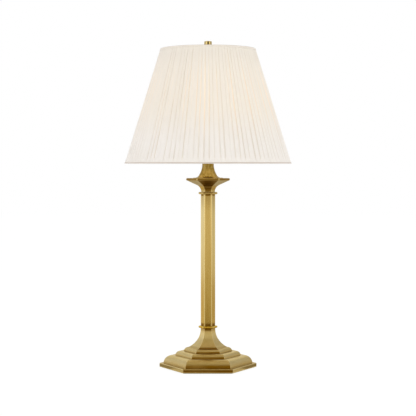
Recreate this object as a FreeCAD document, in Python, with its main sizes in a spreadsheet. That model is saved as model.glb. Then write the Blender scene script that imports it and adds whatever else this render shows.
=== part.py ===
# Candlestick lamp: six-sided brass candlestick body with a pleated cone shade.
#
# Frame: the origin is the centre of the underside, on the surface the lamp stands on. +Z is up and
# the front is -Y. The six-sided pieces have a flat face to the front and corners on +X and -X.
# Every size is in millimetres. A six-sided piece is given by its flat radius, from the axis to the
# middle of a face, unless its name says corner.
import FreeCAD, Part
import math
import os
import Sketcher

Vector = FreeCAD.Vector
Turn = FreeCAD.Rotation

doc = FreeCAD.newDocument("candlestick_lamp")
sheet = doc.addObject("Spreadsheet::Sheet", "Sizes")
pieces = []


# ---------------------------------------------------------------- sizes

class Size:
    """A value together with the sheet formula that gives it."""

    def __init__(self, text, value):
        self.text = text
        self.value = value

    def joined(self, sign, other, value):
        return Size(f"({self.text} {sign} {as_size(other).text})", value)

    def __add__(self, other):
        return self.joined("+", other, self.value + as_size(other).value)

    def __sub__(self, other):
        return self.joined("-", other, self.value - as_size(other).value)

    def __mul__(self, other):
        return self.joined("*", other, self.value * as_size(other).value)

    def __truediv__(self, other):
        return self.joined("/", other, self.value / as_size(other).value)

    def __neg__(self):
        return Size(f"(0 - {self.text})", -self.value)

    def root(self):
        return Size(f"sqrt({self.text})", math.sqrt(self.value))

    def sine(self):
        return Size(f"sin({self.text} * 1 deg)", math.sin(math.radians(self.value)))

    def cosine(self):
        return Size(f"cos({self.text} * 1 deg)", math.cos(math.radians(self.value)))


def as_size(value):
    return value if isinstance(value, Size) else Size(repr(value), value)


def size(name, value, meaning):
    """Writes one driving dimension to the next row of the sheet."""
    row = size.next_row
    size.next_row = row + 1
    sheet.set(f"A{row}", meaning)
    sheet.set(f"B{row}", str(value))
    sheet.setAlias(f"B{row}", name)
    return Size(f"Sizes.{name}", float(value))


size.next_row = 1

ZERO = Size("0", 0.0)
SIX_SIDES = 6
POINT_OF = {"start": 1, "end": 2, "centre": 3}
FLAT = Size("cos(30 deg)", math.cos(math.radians(30)))

# felt, foot and weight
felt_thick = size("felt_thick", 1.5, "felt pad thickness")
felt_inset = size("felt_inset", 4, "felt edge inside the plinth edge")
plinth_flat = size("plinth_flat", 97, "plinth flat radius")
plinth_tall = size("plinth_tall", 9, "plinth height")
plinth_round = size("plinth_round", 1.5, "rounding of the plinth's top edge")
lower_tier_flat = size("lower_tier_flat", 88.9, "first quarter-round, flat radius at its foot")
lower_tier_round = size("lower_tier_round", 18.3, "first quarter-round radius")
upper_tier_flat = size("upper_tier_flat", 65.1, "second quarter-round, flat radius at its foot")
upper_tier_round = size("upper_tier_round", 9.6, "second quarter-round radius")
foot_wall = size("foot_wall", 4, "wall of the foot casting")
weight_radius = size("weight_radius", 68, "iron weight radius")
weight_tall = size("weight_tall", 15, "iron weight height")

# cord inlet
inlet_rise = size("inlet_rise", 15.5, "inlet centre above the foot's underside")
inlet_seat = size("inlet_seat", 84.1, "spot face of the inlet, from the axis")
inlet_boss_radius = size("inlet_boss_radius", 8, "boss behind the inlet, radius")
inlet_boss_deep = size("inlet_boss_deep", 6, "boss behind the spot face, depth")
bushing_bore = size("bushing_bore", 3.2, "cord bushing bore radius")
bushing_barrel = size("bushing_barrel", 4.5, "cord bushing barrel radius")
bushing_flange = size("bushing_flange", 5.8, "cord bushing flange radius")
bushing_flange_thick = size("bushing_flange_thick", 1.5, "cord bushing flange thickness")
bushing_gap = size("bushing_gap", 0.2, "clearance round the cord bushing")
bushing_past = size("bushing_past", 1, "cord bushing standing out past its boss")

# lamp rod and its fastenings
rod_radius = size("rod_radius", 5.05, "lamp rod outer radius")
rod_bore = size("rod_bore", 3.5, "lamp rod bore radius")
rod_gap = size("rod_gap", 0.25, "clearance of the stack round the rod")
thread_gap = size("thread_gap", 0.05, "clearance of a thread that is drawn plain")
washer_radius = size("washer_radius", 11, "washer radius")
washer_thick = size("washer_thick", 1.2, "washer thickness")
lock_radius = size("lock_radius", 8.6, "lock washer radius")
lock_thick = size("lock_thick", 1.5, "lock washer thickness")
lock_slit = size("lock_slit", 1.6, "split of the lock washer")
nut_corner = size("nut_corner", 8.1, "rod nut, centre to corner")
nut_thick = size("nut_thick", 4, "rod nut thickness")
rod_below_nut = size("rod_below_nut", 0.6, "rod standing out under the nut")

# pedestal
base_tier_flat = size("base_tier_flat", 48.06, "pedestal quarter-round, flat radius at its foot")
base_tier_round = size("base_tier_round", 8.8, "pedestal quarter-round radius")
flare_radius = size("flare_radius", 48.3, "pedestal cove radius")
flare_drop = size("flare_drop", 41.8, "height of the pedestal cove")
stem_flat = size("stem_flat", 14.55, "pedestal flat radius at its top")
stem_tall = size("stem_tall", 2.5, "straight top of the pedestal")
hollow_wide = size("hollow_wide", 33, "pedestal hollow radius at its foot")
hollow_low = size("hollow_low", 5, "height of the wide hollow")
hollow_narrow = size("hollow_narrow", 12, "pedestal hollow radius above")
hollow_high = size("hollow_high", 24, "height of the narrow hollow")

# collars and column
collar_flat = size("collar_flat", 19.05, "collar flat radius")
collar_edge = size("collar_edge", 2.65, "radius of the collar's round edge, half its thickness")
spigot_tall = size("spigot_tall", 6, "collar spigot inside the column")
spigot_gap = size("spigot_gap", 0.3, "clearance of the spigot in the column")
column_flat = size("column_flat", 14.65, "column flat radius")
column_wall = size("column_wall", 1.5, "column wall")
column_long = size("column_long", 302.8, "column length")
column_round = size("column_round", 2, "rounding of the column's corners")

# capital
cap_stem_flat = size("cap_stem_flat", 13.95, "capital flat radius at its foot")
cap_stem_tall = size("cap_stem_tall", 1.2, "straight foot of the capital")
cap_cove_radius = size("cap_cove_radius", 17, "capital cove radius")
cap_lean_degrees = size("cap_lean_degrees", 62, "slope of the capital's underside from upright")
rim_flat = size("rim_flat", 43.65, "capital rim flat radius")
rim_edge = size("rim_edge", 2, "rounding of the rim's edges")
rim_band = size("rim_band", 1.6, "straight part of the rim's edge")
rim_wide = size("rim_wide", 4.5, "width of the rim round the dish")
dish_deep = size("dish_deep", 1.5, "depth of the dish")

# neck
neck_base_radius = size("neck_base_radius", 34, "neck foot radius")
neck_base_edge = size("neck_base_edge", 2.4, "neck foot thickness")
neck_toe_radius = size("neck_toe_radius", 30.5, "radius where the neck's cove meets its foot")
neck_toe_cove = size("neck_toe_cove", 11.6, "radius of the small cove")
neck_cove_start = size("neck_cove_start", 7.6, "height where the long cove starts")
neck_cove_radius = size("neck_cove_radius", 48, "radius of the long cove")
neck_cove_top = size("neck_cove_top", 34, "height where the long cove ends")
neck_radius = size("neck_radius", 13.1, "neck radius at its top")
neck_tall = size("neck_tall", 38, "neck height")

# harp saddle
saddle_thick = size("saddle_thick", 1.6, "saddle strip thickness")
saddle_wide = size("saddle_wide", 12, "saddle strip width")
saddle_flat = size("saddle_flat", 17, "half length of the saddle's flat middle")
saddle_rise = size("saddle_rise", 7.4, "rise of the saddle's ends")
saddle_tab = size("saddle_tab", 4, "half length of a saddle end")
harp_foot = size("harp_foot", 27, "harp leg from the axis, at the saddle")
pin_tall = size("pin_tall", 12, "pin that a harp leg stands on")

# harp
harp_radius = size("harp_radius", 1.9, "harp wire radius")
harp_bow = size("harp_bow", 62, "harp bow radius")
harp_lean_degrees = size("harp_lean_degrees", 15, "lean of the harp's sides from upright")
harp_bend = size("harp_bend", 40, "bend between a leg and a side")
harp_tall = size("harp_tall", 223.8, "harp height, foot to middle of the top")
ferrule_radius = size("ferrule_radius", 4, "ferrule radius")
ferrule_tall = size("ferrule_tall", 14, "ferrule height")
ferrule_gap = size("ferrule_gap", 0.1, "sliding clearance of a ferrule")
stud_block_radius = size("stud_block_radius", 6.5, "block on the harp, radius")
stud_block_tall = size("stud_block_tall", 6, "block on the harp, height")
stud_hole_gap = size("stud_hole_gap", 0.35, "clearance of the harp in its block")
stud_radius = size("stud_radius", 3.1, "finial stud radius")
stud_tall = size("stud_tall", 16.5, "finial stud height over its block")
turning_gap = size("turning_gap", 0.1, "clearance of what turns on a shaft")

# shade
shade_bottom_radius = size("shade_bottom_radius", 191.5, "shade outer radius, bottom")
shade_top_radius = size("shade_top_radius", 109, "shade outer radius, top")
shade_tall = size("shade_tall", 262.7, "shade height")
shade_drop = size("shade_drop", 11.6, "shade top over the spider's hub seat")
pleat_count = size("pleat_count", 96, "number of pleats")
pleat_deep = size("pleat_deep", 2.4, "pleat depth at the bottom")
pleat_back = size("pleat_back", 0.6, "cloth behind a pleat's valley")
skin_gap = size("skin_gap", 0.1, "clearance between the skin and the liner")
liner_wall = size("liner_wall", 0.8, "liner thickness")
trim_tall = size("trim_tall", 4, "height of a trim")
trim_proud = size("trim_proud", 0.4, "trim standing out past the pleats")
ring_wire = size("ring_wire", 1.6, "ring wire radius")
ring_inset = size("ring_inset", 3.2, "ring middle inside the shade's edge")
hub_radius = size("hub_radius", 11, "spider hub radius")
hub_thick = size("hub_thick", 3, "spider hub thickness")
arm_wire = size("arm_wire", 1.4, "spider arm wire radius")
arm_start = size("arm_start", 16, "radius where an arm starts to rise")
arm_bend_degrees = size("arm_bend_degrees", 40, "turn of an arm's two bends")
arm_count = size("arm_count", 3, "number of spider arms")

# finial
finial_foot_radius = size("finial_foot_radius", 6, "finial foot radius")
finial_foot_tall = size("finial_foot_tall", 2, "finial foot height")
finial_waist_radius = size("finial_waist_radius", 4.6, "finial waist radius")
finial_waist_tall = size("finial_waist_tall", 6, "finial waist height")
finial_knob_radius = size("finial_knob_radius", 8.75, "finial knob radius")
finial_knob_tall = size("finial_knob_tall", 13, "finial knob height")
finial_shoulder = size("finial_shoulder", 5, "height of the slope under the knob")
finial_round = size("finial_round", 1.6, "rounding of the knob's top edge")
finial_hole_deep = size("finial_hole_deep", 15, "depth of the finial's threaded hole")

# socket
hub_barrel = size("hub_barrel", 8, "socket cap hub radius")
hub_tall = size("hub_tall", 4, "socket cap hub height under the bowl")
hub_inside = size("hub_inside", 10, "socket cap hub height inside")
hub_inside_radius = size("hub_inside_radius", 7.6, "socket cap hub radius inside")
bowl_radius = size("bowl_radius", 17, "socket cap radius")
bowl_round = size("bowl_round", 9, "rounding of the socket cap's bowl")
cap_wall = size("cap_wall", 0.8, "socket cap wall")
cap_side = size("cap_side", 11, "straight side of the socket cap")
set_screw_radius = size("set_screw_radius", 1.5, "set screw radius")
set_screw_long = size("set_screw_long", 5, "set screw length")
set_screw_rise = size("set_screw_rise", 2.2, "set screw height in the hub")
shell_gap = size("shell_gap", 0.1, "clearance of nested socket tubes")
shell_wall = size("shell_wall", 0.5, "socket shell wall")
shell_tall = size("shell_tall", 51, "socket shell height")
shell_bead = size("shell_bead", 0.8, "bead radius at the socket shell's top")
liner_tube_wall = size("liner_tube_wall", 0.5, "insulating tube wall")
liner_short = size("liner_short", 2, "insulating tube under the shell's top")
core_radius = size("core_radius", 14.4, "socket core radius")
core_foot_radius = size("core_foot_radius", 7, "socket core foot radius")
core_foot_tall = size("core_foot_tall", 4.4, "socket core foot height")
core_tall = size("core_tall", 23, "socket core height over its foot")
thread_shell_radius = size("thread_shell_radius", 13.7, "screw shell outer radius")
thread_shell_wall = size("thread_shell_wall", 0.35, "screw shell wall")
thread_shell_tall = size("thread_shell_tall", 24, "screw shell height")
contact_wide = size("contact_wide", 6, "centre contact width")
contact_long = size("contact_long", 14, "centre contact length")
contact_thick = size("contact_thick", 0.5, "centre contact thickness")
contact_spring = size("contact_spring", 1.7, "rise of the centre contact")
terminal_radius = size("terminal_radius", 2.2, "terminal screw head radius")
terminal_shank = size("terminal_shank", 1.2, "terminal screw shank radius")
terminal_deep = size("terminal_deep", 3, "terminal screw shank length")
terminal_rise = size("terminal_rise", 8, "terminal screws above the core's shoulder")
terminal_pocket = size("terminal_pocket", 3, "radius of a terminal screw's pocket")
terminal_head = size("terminal_head", 1.3, "terminal screw head thickness")

# switch
switch_rise = size("switch_rise", 16, "switch shaft above the core's shoulder")
switch_radius = size("switch_radius", 1.5, "switch shaft radius")
switch_inside = size("switch_inside", 6, "inner end of the switch shaft, from the axis")
switch_reach = size("switch_reach", 30, "outer end of the switch shaft, from the axis")
switch_hole = size("switch_hole", 3.5, "hole in the socket shell round the switch shaft")
key_start = size("key_start", 23, "inner face of the key, from the axis")
key_long = size("key_long", 12, "key length along the shaft")
key_wide = size("key_wide", 15, "key width")
key_thick = size("key_thick", 3.6, "key thickness")
key_boss = size("key_boss", 3, "radius of the key's boss")
key_round = size("key_round", 3, "rounding of the key's outer corners")

# bulb
bulb_thread_radius = size("bulb_thread_radius", 13.2, "bulb cap radius")
bulb_cap_wall = size("bulb_cap_wall", 0.4, "bulb cap wall")
bulb_cap_tall = size("bulb_cap_tall", 22, "bulb cap height")
bulb_insulator_tall = size("bulb_insulator_tall", 2.6, "bulb insulator height")
bulb_insulator_radius = size("bulb_insulator_radius", 10, "bulb insulator radius")
bulb_contact_radius = size("bulb_contact_radius", 4.5, "bulb contact radius")
bulb_contact_tall = size("bulb_contact_tall", 1, "bulb contact height")
glass_radius = size("glass_radius", 30, "bulb glass radius")
glass_wall = size("glass_wall", 0.8, "bulb glass wall")
glass_lap = size("glass_lap", 6, "glass neck inside the bulb cap")
glass_ease = size("glass_ease", 60, "hollow curve between the bulb's neck and ball")
stem_glass_radius = size("stem_glass_radius", 9, "flare of the glass stem")
stem_post_radius = size("stem_post_radius", 2.4, "post of the glass stem")
stem_post_tall = size("stem_post_tall", 34, "height of the glass stem")
lead_radius = size("lead_radius", 0.5, "lead wire radius")
lead_apart = size("lead_apart", 9, "filament half span")
lead_tall = size("lead_tall", 22, "height of the leads over the stem")
filament_radius = size("filament_radius", 0.9, "filament radius")


# ---------------------------------------------------------------- helpers

def bind(thing, **values):
    """Binds properties of a feature to sheet formulas. Two underscores stand for a dot."""
    for name, value in values.items():
        thing.setExpression(name.replace("__", "."), as_size(value).text)


def place(thing, x=ZERO, y=ZERO, z=ZERO, turn=None):
    """Gives a piece its Placement, with its position bound to the sheet."""
    spot = Vector(as_size(x).value, as_size(y).value, as_size(z).value)
    thing.Placement = FreeCAD.Placement(spot, turn or Turn())
    bind(thing, Placement__Base__x=x, Placement__Base__y=y, Placement__Base__z=z)


def finish(thing, name):
    """Names a finished sub-part and keeps it for writing."""
    thing.Label = name
    pieces.append(thing)
    return thing


def new_body(name):
    return doc.addObject("PartDesign::Body", name + "_body")


def sketch_on(body, plane, name):
    """A sketch on one of the body's own origin planes."""
    sketch = body.newObject("Sketcher::SketchObject", name)
    faces = [item for item in body.Origin.OriginFeatures if item.Role == plane]
    sketch.AttachmentSupport = (faces[0], [""])
    sketch.MapMode = "FlatFace"
    return sketch


def free_sketch(name, turn):
    """A sketch that stands alone, turned into an upright plane."""
    sketch = doc.addObject("Sketcher::SketchObject", name)
    sketch.Placement = FreeCAD.Placement(Vector(), turn)
    return sketch


def pin_point(sketch, edge, end, across, up):
    """Holds one point of a sketch at a place given by the sheet."""
    for kind, value in (("DistanceX", as_size(across)), ("DistanceY", as_size(up))):
        if value.text == "0":
            axis = -2 if kind == "DistanceX" else -1
            sketch.addConstraint(Sketcher.Constraint("PointOnObject", edge, end, axis))
        else:
            index = sketch.addConstraint(Sketcher.Constraint(kind, -1, 1, edge, end, value.value))
            sketch.setExpression(f"Constraints[{index}]", value.text)


def arc_middle(start, end, radius, side):
    """The middle of a short arc that bows to the left (1) or right (-1) of its travel."""
    chord = end - start
    half = chord.Length / 2
    bow = radius - math.sqrt(max(radius * radius - half * half, 0.0))
    across = Vector(-chord.y, chord.x, 0).normalize()
    return (start + end) * 0.5 + across * (bow * side)


def draw_path(sketch, points, arcs=None, closed=True):
    """Draws sides from point to point. arcs gives (radius, side) by the number of the side."""
    arcs = arcs or {}
    spots = [Vector(as_size(x).value, as_size(y).value, 0) for x, y in points]
    count = len(points) if closed else len(points) - 1
    ends = []
    for i in range(count):
        start = spots[i]
        end = spots[(i + 1) % len(points)]
        if i in arcs:
            radius, side = arcs[i]
            middle = arc_middle(start, end, as_size(radius).value, side)
            edge = sketch.addGeometry(Part.Arc(start, middle, end), False)
            turned_round = sketch.getPoint(edge, POINT_OF["start"]).distanceToPoint(end) < (
                sketch.getPoint(edge, POINT_OF["end"]).distanceToPoint(end))
            first, last = ("end", "start") if turned_round else ("start", "end")
            ends.append((edge, POINT_OF[first], POINT_OF[last]))
        else:
            edge = sketch.addGeometry(Part.LineSegment(start, end), False)
            ends.append((edge, POINT_OF["start"], POINT_OF["end"]))
    for i, (edge, first, last) in enumerate(ends):
        pin_point(sketch, edge, first, *points[i])
        if closed:
            following = ends[(i + 1) % count]
            sketch.addConstraint(Sketcher.Constraint("Coincident", edge, last, following[0], following[1]))
        elif i + 1 < count:
            following = ends[i + 1]
            sketch.addConstraint(Sketcher.Constraint("Coincident", edge, last, following[0], following[1]))
        else:
            pin_point(sketch, edge, last, *points[i + 1])
    for i, (radius, side) in arcs.items():
        index = sketch.addConstraint(Sketcher.Constraint("Radius", ends[i][0], as_size(radius).value))
        sketch.setExpression(f"Constraints[{index}]", as_size(radius).text)


def draw_circle(sketch, radius, across=ZERO, up=ZERO):
    spot = Vector(as_size(across).value, as_size(up).value, 0)
    edge = sketch.addGeometry(Part.Circle(spot, Vector(0, 0, 1), as_size(radius).value), False)
    pin_point(sketch, edge, POINT_OF["centre"], across, up)
    index = sketch.addConstraint(Sketcher.Constraint("Radius", edge, as_size(radius).value))
    sketch.setExpression(f"Constraints[{index}]", as_size(radius).text)


def hexagon_points(flat):
    """The corners of a hexagon with a face to the front, from its flat radius."""
    corner = flat / FLAT
    half = corner / 2
    return [(corner, ZERO), (half, flat), (-half, flat), (-corner, ZERO), (-half, -flat), (half, -flat)]


def turned(name, points, arcs=None):
    """A body turned about its own Z axis from an outline of (radius, height) points."""
    body = new_body(name)
    sketch = sketch_on(body, "XZ_Plane", name + "_outline")
    draw_path(sketch, points, arcs)
    solid = body.newObject("PartDesign::Revolution", name + "_turned")
    solid.Profile = sketch
    solid.ReferenceAxis = (sketch, ["V_Axis"])
    solid.Angle = 360
    body.Tip = solid
    return body


def ring(name, outer, inner, tall):
    """A plain turned ring or tube."""
    return turned(name, [(inner, ZERO), (outer, ZERO), (outer, tall), (inner, tall)])


def cylinder(name, radius, tall, x=ZERO, y=ZERO, z=ZERO, turn=None):
    thing = doc.addObject("Part::Cylinder", name)
    bind(thing, Radius=radius, Height=tall)
    place(thing, x, y, z, turn)
    return thing


def combined(kind, name, things):
    thing = doc.addObject(kind, name)
    thing.Shapes = things
    return thing


def cut(name, base, tool):
    thing = doc.addObject("Part::Cut", name)
    thing.Base = base
    thing.Tool = tool
    return thing


def six_sided(name, side, arcs, width):
    """A six-sided moulding from the outline of its right side, bottom to top.

    The outline, mirrored about the axis, is drawn out into three straight mouldings, 60 degrees
    apart, and the moulding is what the three have in common.
    """
    sketch = free_sketch(name + "_outline", Turn(Vector(1, 1, 1), 120))
    left = [(-as_size(x), z) for x, z in reversed(side)]
    mirrored = {2 * len(side) - 2 - i: term for i, term in arcs.items()}
    draw_path(sketch, side + left, {**arcs, **mirrored})
    slabs = []
    for i in range(SIX_SIDES // 2):
        slab = doc.addObject("Part::Extrusion", f"{name}_slab_{i}")
        slab.Base = sketch
        slab.DirMode = "Normal"
        slab.Symmetric = True
        slab.Solid = True
        bind(slab, LengthFwd=width)
        slab.Placement = FreeCAD.Placement(Vector(), Turn(Vector(0, 0, 1), 60 * i))
        slabs.append(slab)
    return combined("Part::MultiCommon", name + "_moulding", slabs)


# ---------------------------------------------------------------- heights of the stack

foot_top = felt_thick + plinth_tall + lower_tier_round + upper_tier_round
weight_top = felt_thick + plinth_tall + lower_tier_round - foot_wall
weight_base = weight_top - weight_tall
washer_base = weight_base - washer_thick
lock_base = washer_base - lock_thick
nut_base = lock_base - nut_thick
rod_base = nut_base - rod_below_nut
collar_tall = collar_edge * 2
collar_base = foot_top + base_tier_round + flare_drop + stem_tall
column_base = collar_base + collar_tall
column_top = column_base + column_long
capital_base = column_top + collar_tall
cap_cove_flat = cap_stem_flat + cap_cove_radius * (as_size(1) - cap_lean_degrees.cosine())
cap_cove_top = cap_stem_tall + cap_cove_radius * cap_lean_degrees.sine()
cap_cove_wide = rim_flat - rim_edge - cap_cove_flat
rim_base = cap_cove_top + cap_cove_wide * cap_lean_degrees.cosine() / cap_lean_degrees.sine()
rim_top = rim_base + rim_edge * 2 + rim_band
neck_base = capital_base + rim_top - dish_deep
saddle_base = neck_base + neck_tall
saddle_tab_top = saddle_base + saddle_rise + saddle_thick
harp_base = saddle_tab_top + pin_tall
hub_seat = harp_base + harp_tall + stud_block_tall / 2
shade_base = hub_seat + shade_drop - shade_tall
finial_base = hub_seat + hub_thick
socket_base = saddle_base + saddle_thick
shell_base = socket_base + hub_tall + bowl_round
shoulder_base = socket_base + hub_inside + core_foot_tall
core_top = shoulder_base + core_tall
switch_base = shoulder_base + switch_rise
bulb_base = core_top + contact_thick + contact_spring
bulb_cap_base = bulb_base + bulb_contact_tall + bulb_insulator_tall
rod_top = socket_base + hub_inside - rod_below_nut
rod_hole = rod_radius + rod_gap
thread_hole = rod_radius + thread_gap


# ---------------------------------------------------------------- foot

def make_felt_pad():
    felt = doc.addObject("Part::Prism", "felt_pad_prism")
    felt.Polygon = SIX_SIDES
    bind(felt, Circumradius=(plinth_flat - felt_inset) / FLAT, Height=felt_thick)
    place(felt)
    finish(felt, "felt_pad")


def make_foot():
    plinth = [(plinth_flat, ZERO), (plinth_flat, plinth_tall - plinth_round),
              (plinth_flat - plinth_round, plinth_tall)]
    low_top = plinth_tall + lower_tier_round
    outside = plinth + [(lower_tier_flat, plinth_tall), (lower_tier_flat - lower_tier_round, low_top),
                        (upper_tier_flat, low_top),
                        (upper_tier_flat - upper_tier_round, low_top + upper_tier_round)]
    outside_arcs = {1: (plinth_round, -1), 3: (lower_tier_round, -1), 5: (upper_tier_round, -1)}
    width = plinth_flat * 4
    solid = six_sided("foot_outside", outside, outside_arcs, width)

    roof = low_top - foot_wall
    inner_low = lower_tier_flat - foot_wall
    inner_high = upper_tier_flat - foot_wall
    inside = [(inner_low, ZERO), (inner_low, plinth_tall), (lower_tier_flat - lower_tier_round, roof),
              (inner_high, roof), (inner_high, low_top),
              (upper_tier_flat - upper_tier_round, roof + upper_tier_round)]
    inside_arcs = {1: (lower_tier_round - foot_wall, -1), 4: (upper_tier_round - foot_wall, -1)}
    room = six_sided("foot_inside", inside, inside_arcs, width)

    to_rear = Turn(Vector(1, 0, 0), -90)
    boss = cylinder("inlet_boss", inlet_boss_radius, inlet_boss_deep * 3, y=inlet_seat - inlet_boss_deep,
                    z=inlet_rise, turn=to_rear)
    shell = cut("foot_shell", solid, cut("foot_room", room, boss))
    holes = combined("Part::MultiFuse", "foot_holes", [
        cylinder("foot_rod_hole", rod_hole, foot_top),
        cylinder("inlet_hole", bushing_barrel + bushing_gap, inlet_boss_deep * 2,
                 y=inlet_seat - inlet_boss_deep * 1.5, z=inlet_rise, turn=to_rear),
        cylinder("inlet_spot_face", bushing_flange + bushing_gap, inlet_boss_deep * 3, y=inlet_seat,
                 z=inlet_rise, turn=to_rear),
    ])
    foot = cut("foot_casting", shell, holes)
    place(foot, z=felt_thick)
    finish(foot, "foot")


def make_cord_bushing():
    inside = -(inlet_boss_deep + bushing_past)
    bushing = turned("cord_bushing", [
        (bushing_bore, inside), (bushing_barrel, inside), (bushing_barrel, ZERO), (bushing_flange, ZERO),
        (bushing_flange, bushing_flange_thick), (bushing_bore, bushing_flange_thick)])
    place(bushing, y=inlet_seat, z=felt_thick + inlet_rise, turn=Turn(Vector(1, 0, 0), -90))
    finish(bushing, "cord_bushing")


def make_weight_and_fastenings():
    weight = ring("foot_weight", weight_radius, rod_hole, weight_tall)
    place(weight, z=weight_base)
    finish(weight, "foot_weight")

    washer = ring("rod_washer", washer_radius, rod_hole, washer_thick)
    place(washer, z=washer_base)
    finish(washer, "rod_washer")

    lock = ring("rod_lock_washer", lock_radius, rod_hole, lock_thick)
    slit = doc.addObject("Part::Box", "lock_slit_box")
    bind(slit, Length=lock_radius * 2, Width=lock_slit, Height=lock_thick)
    place(slit, y=-lock_slit / 2)
    split = cut("lock_washer_split", lock, slit)
    place(split, z=lock_base)
    finish(split, "rod_lock_washer")

    hexagon = doc.addObject("Part::Prism", "rod_nut_hexagon")
    hexagon.Polygon = SIX_SIDES
    bind(hexagon, Circumradius=nut_corner, Height=nut_thick)
    nut = cut("rod_nut_tapped", hexagon, cylinder("rod_nut_thread", thread_hole, nut_thick))
    place(nut, z=nut_base)
    finish(nut, "rod_nut")

    rod = ring("lamp_rod", rod_radius, rod_bore, rod_top - rod_base)
    place(rod, z=rod_base)
    finish(rod, "lamp_rod")


# ---------------------------------------------------------------- pedestal, collars, column, capital

def make_pedestal():
    cove_foot = stem_flat + flare_radius - (flare_radius * flare_radius - flare_drop * flare_drop).root()
    cove_top = base_tier_round + flare_drop
    side = [(base_tier_flat, ZERO), (base_tier_flat - base_tier_round, base_tier_round),
            (cove_foot, base_tier_round), (stem_flat, cove_top), (stem_flat, cove_top + stem_tall)]
    solid = six_sided("pedestal", side, {0: (base_tier_round, -1), 2: (flare_radius, 1)}, base_tier_flat * 4)
    hollows = combined("Part::MultiFuse", "pedestal_hollows", [
        cylinder("pedestal_rod_hole", rod_hole, collar_base),
        cylinder("pedestal_wide_hollow", hollow_wide, hollow_low),
        cylinder("pedestal_narrow_hollow", hollow_narrow, hollow_high),
    ])
    pedestal = cut("pedestal_casting", solid, hollows)
    place(pedestal, z=foot_top)
    finish(pedestal, "pedestal")


def make_collar(name, z, turn):
    """A thin six-sided collar with a bullnose edge and a round spigot that centres the column."""
    side = [(collar_flat - collar_edge, ZERO), (collar_flat, collar_edge),
            (collar_flat - collar_edge, collar_tall)]
    plate = six_sided(name, side, {0: (collar_edge, -1), 1: (collar_edge, -1)}, collar_flat * 4)
    spigot = cylinder(name + "_spigot", column_flat - column_wall - spigot_gap, spigot_tall, z=collar_tall)
    solid = combined("Part::MultiFuse", name + "_solid", [plate, spigot])
    collar = cut(name + "_bored", solid, cylinder(name + "_rod_hole", rod_hole, collar_tall + spigot_tall))
    place(collar, z=z, turn=turn)
    finish(collar, name)


def make_column():
    body = new_body("column")
    outline = sketch_on(body, "XY_Plane", "column_outline")
    draw_path(outline, hexagon_points(column_flat))
    tube = body.newObject("PartDesign::Pad", "column_length")
    tube.Profile = outline
    bind(tube, Length=column_long)
    doc.recompute()
    upright = [f"Edge{i + 1}" for i, edge in enumerate(tube.Shape.Edges)
               if abs(edge.tangentAt(edge.FirstParameter).z) > FLAT.value]
    corners = body.newObject("PartDesign::Fillet", "column_corners")
    corners.Base = (tube, upright)
    bind(corners, Radius=column_round)
    inside = sketch_on(body, "XY_Plane", "column_inside")
    draw_path(inside, hexagon_points(column_flat - column_wall))
    hollow = body.newObject("PartDesign::Pocket", "column_hollow")
    hollow.Profile = inside
    hollow.Type = "ThroughAll"
    hollow.Reversed = True
    body.Tip = hollow
    place(body, z=column_base)
    finish(body, "column")


def make_capital():
    shoulder = rim_base + rim_edge
    side = [(cap_stem_flat, ZERO), (cap_stem_flat, cap_stem_tall), (cap_cove_flat, cap_cove_top),
            (rim_flat - rim_edge, rim_base), (rim_flat, shoulder), (rim_flat, shoulder + rim_band),
            (rim_flat - rim_edge, rim_top)]
    arcs = {1: (cap_cove_radius, 1), 3: (rim_edge, -1), 5: (rim_edge, -1)}
    solid = six_sided("capital", side, arcs, rim_flat * 4)
    dish = doc.addObject("Part::Prism", "capital_dish")
    dish.Polygon = SIX_SIDES
    bind(dish, Circumradius=(rim_flat - rim_wide) / FLAT, Height=dish_deep)
    place(dish, z=rim_top - dish_deep)
    hollows = combined("Part::MultiFuse", "capital_hollows", [
        dish, cylinder("capital_rod_hole", rod_hole, rim_top)])
    capital = cut("capital_casting", solid, hollows)
    place(capital, z=capital_base)
    finish(capital, "capital")


def make_neck():
    neck = turned("neck", [
        (rod_hole, ZERO), (neck_base_radius, ZERO), (neck_base_radius, neck_base_edge),
        (neck_toe_radius, neck_base_edge),
        (neck_radius + neck_cove_radius - neck_cove_reach(), neck_cove_start),
        (neck_radius, neck_cove_top), (neck_radius, neck_tall), (rod_hole, neck_tall)],
        {3: (neck_toe_cove, 1), 4: (neck_cove_radius, 1)})
    place(neck, z=neck_base)
    finish(neck, "neck")


def neck_cove_reach():
    """How far the long cove's lower end lies from its centre, across."""
    drop = neck_cove_top - neck_cove_start
    return (neck_cove_radius * neck_cove_radius - drop * drop).root()


# ---------------------------------------------------------------- harp

def make_harp_saddle():
    sketch = free_sketch("saddle_outline", Turn(Vector(1, 0, 0), 90))
    tab_in = harp_foot - saddle_tab
    tab_out = harp_foot + saddle_tab
    tab_top = saddle_rise + saddle_thick
    right = [(saddle_flat, ZERO), (tab_in, saddle_rise), (tab_out, saddle_rise), (tab_out, tab_top),
             (tab_in - saddle_thick / 2, tab_top), (saddle_flat - saddle_thick / 2, saddle_thick)]
    left = [(-x, z) for x, z in reversed(right)]
    draw_path(sketch, right + left)
    strip = doc.addObject("Part::Extrusion", "saddle_strip")
    strip.Base = sketch
    strip.DirMode = "Normal"
    strip.Symmetric = True
    strip.Solid = True
    bind(strip, LengthFwd=saddle_wide)
    pins = [cylinder("saddle_pin_right", harp_radius, pin_tall, x=harp_foot, z=tab_top),
            cylinder("saddle_pin_left", harp_radius, pin_tall, x=-harp_foot, z=tab_top)]
    solid = combined("Part::MultiFuse", "saddle_solid", [strip] + pins)
    saddle = cut("saddle_bored", solid, cylinder("saddle_rod_hole", rod_hole, saddle_thick))
    place(saddle, z=saddle_base)
    finish(saddle, "harp_saddle")


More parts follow.
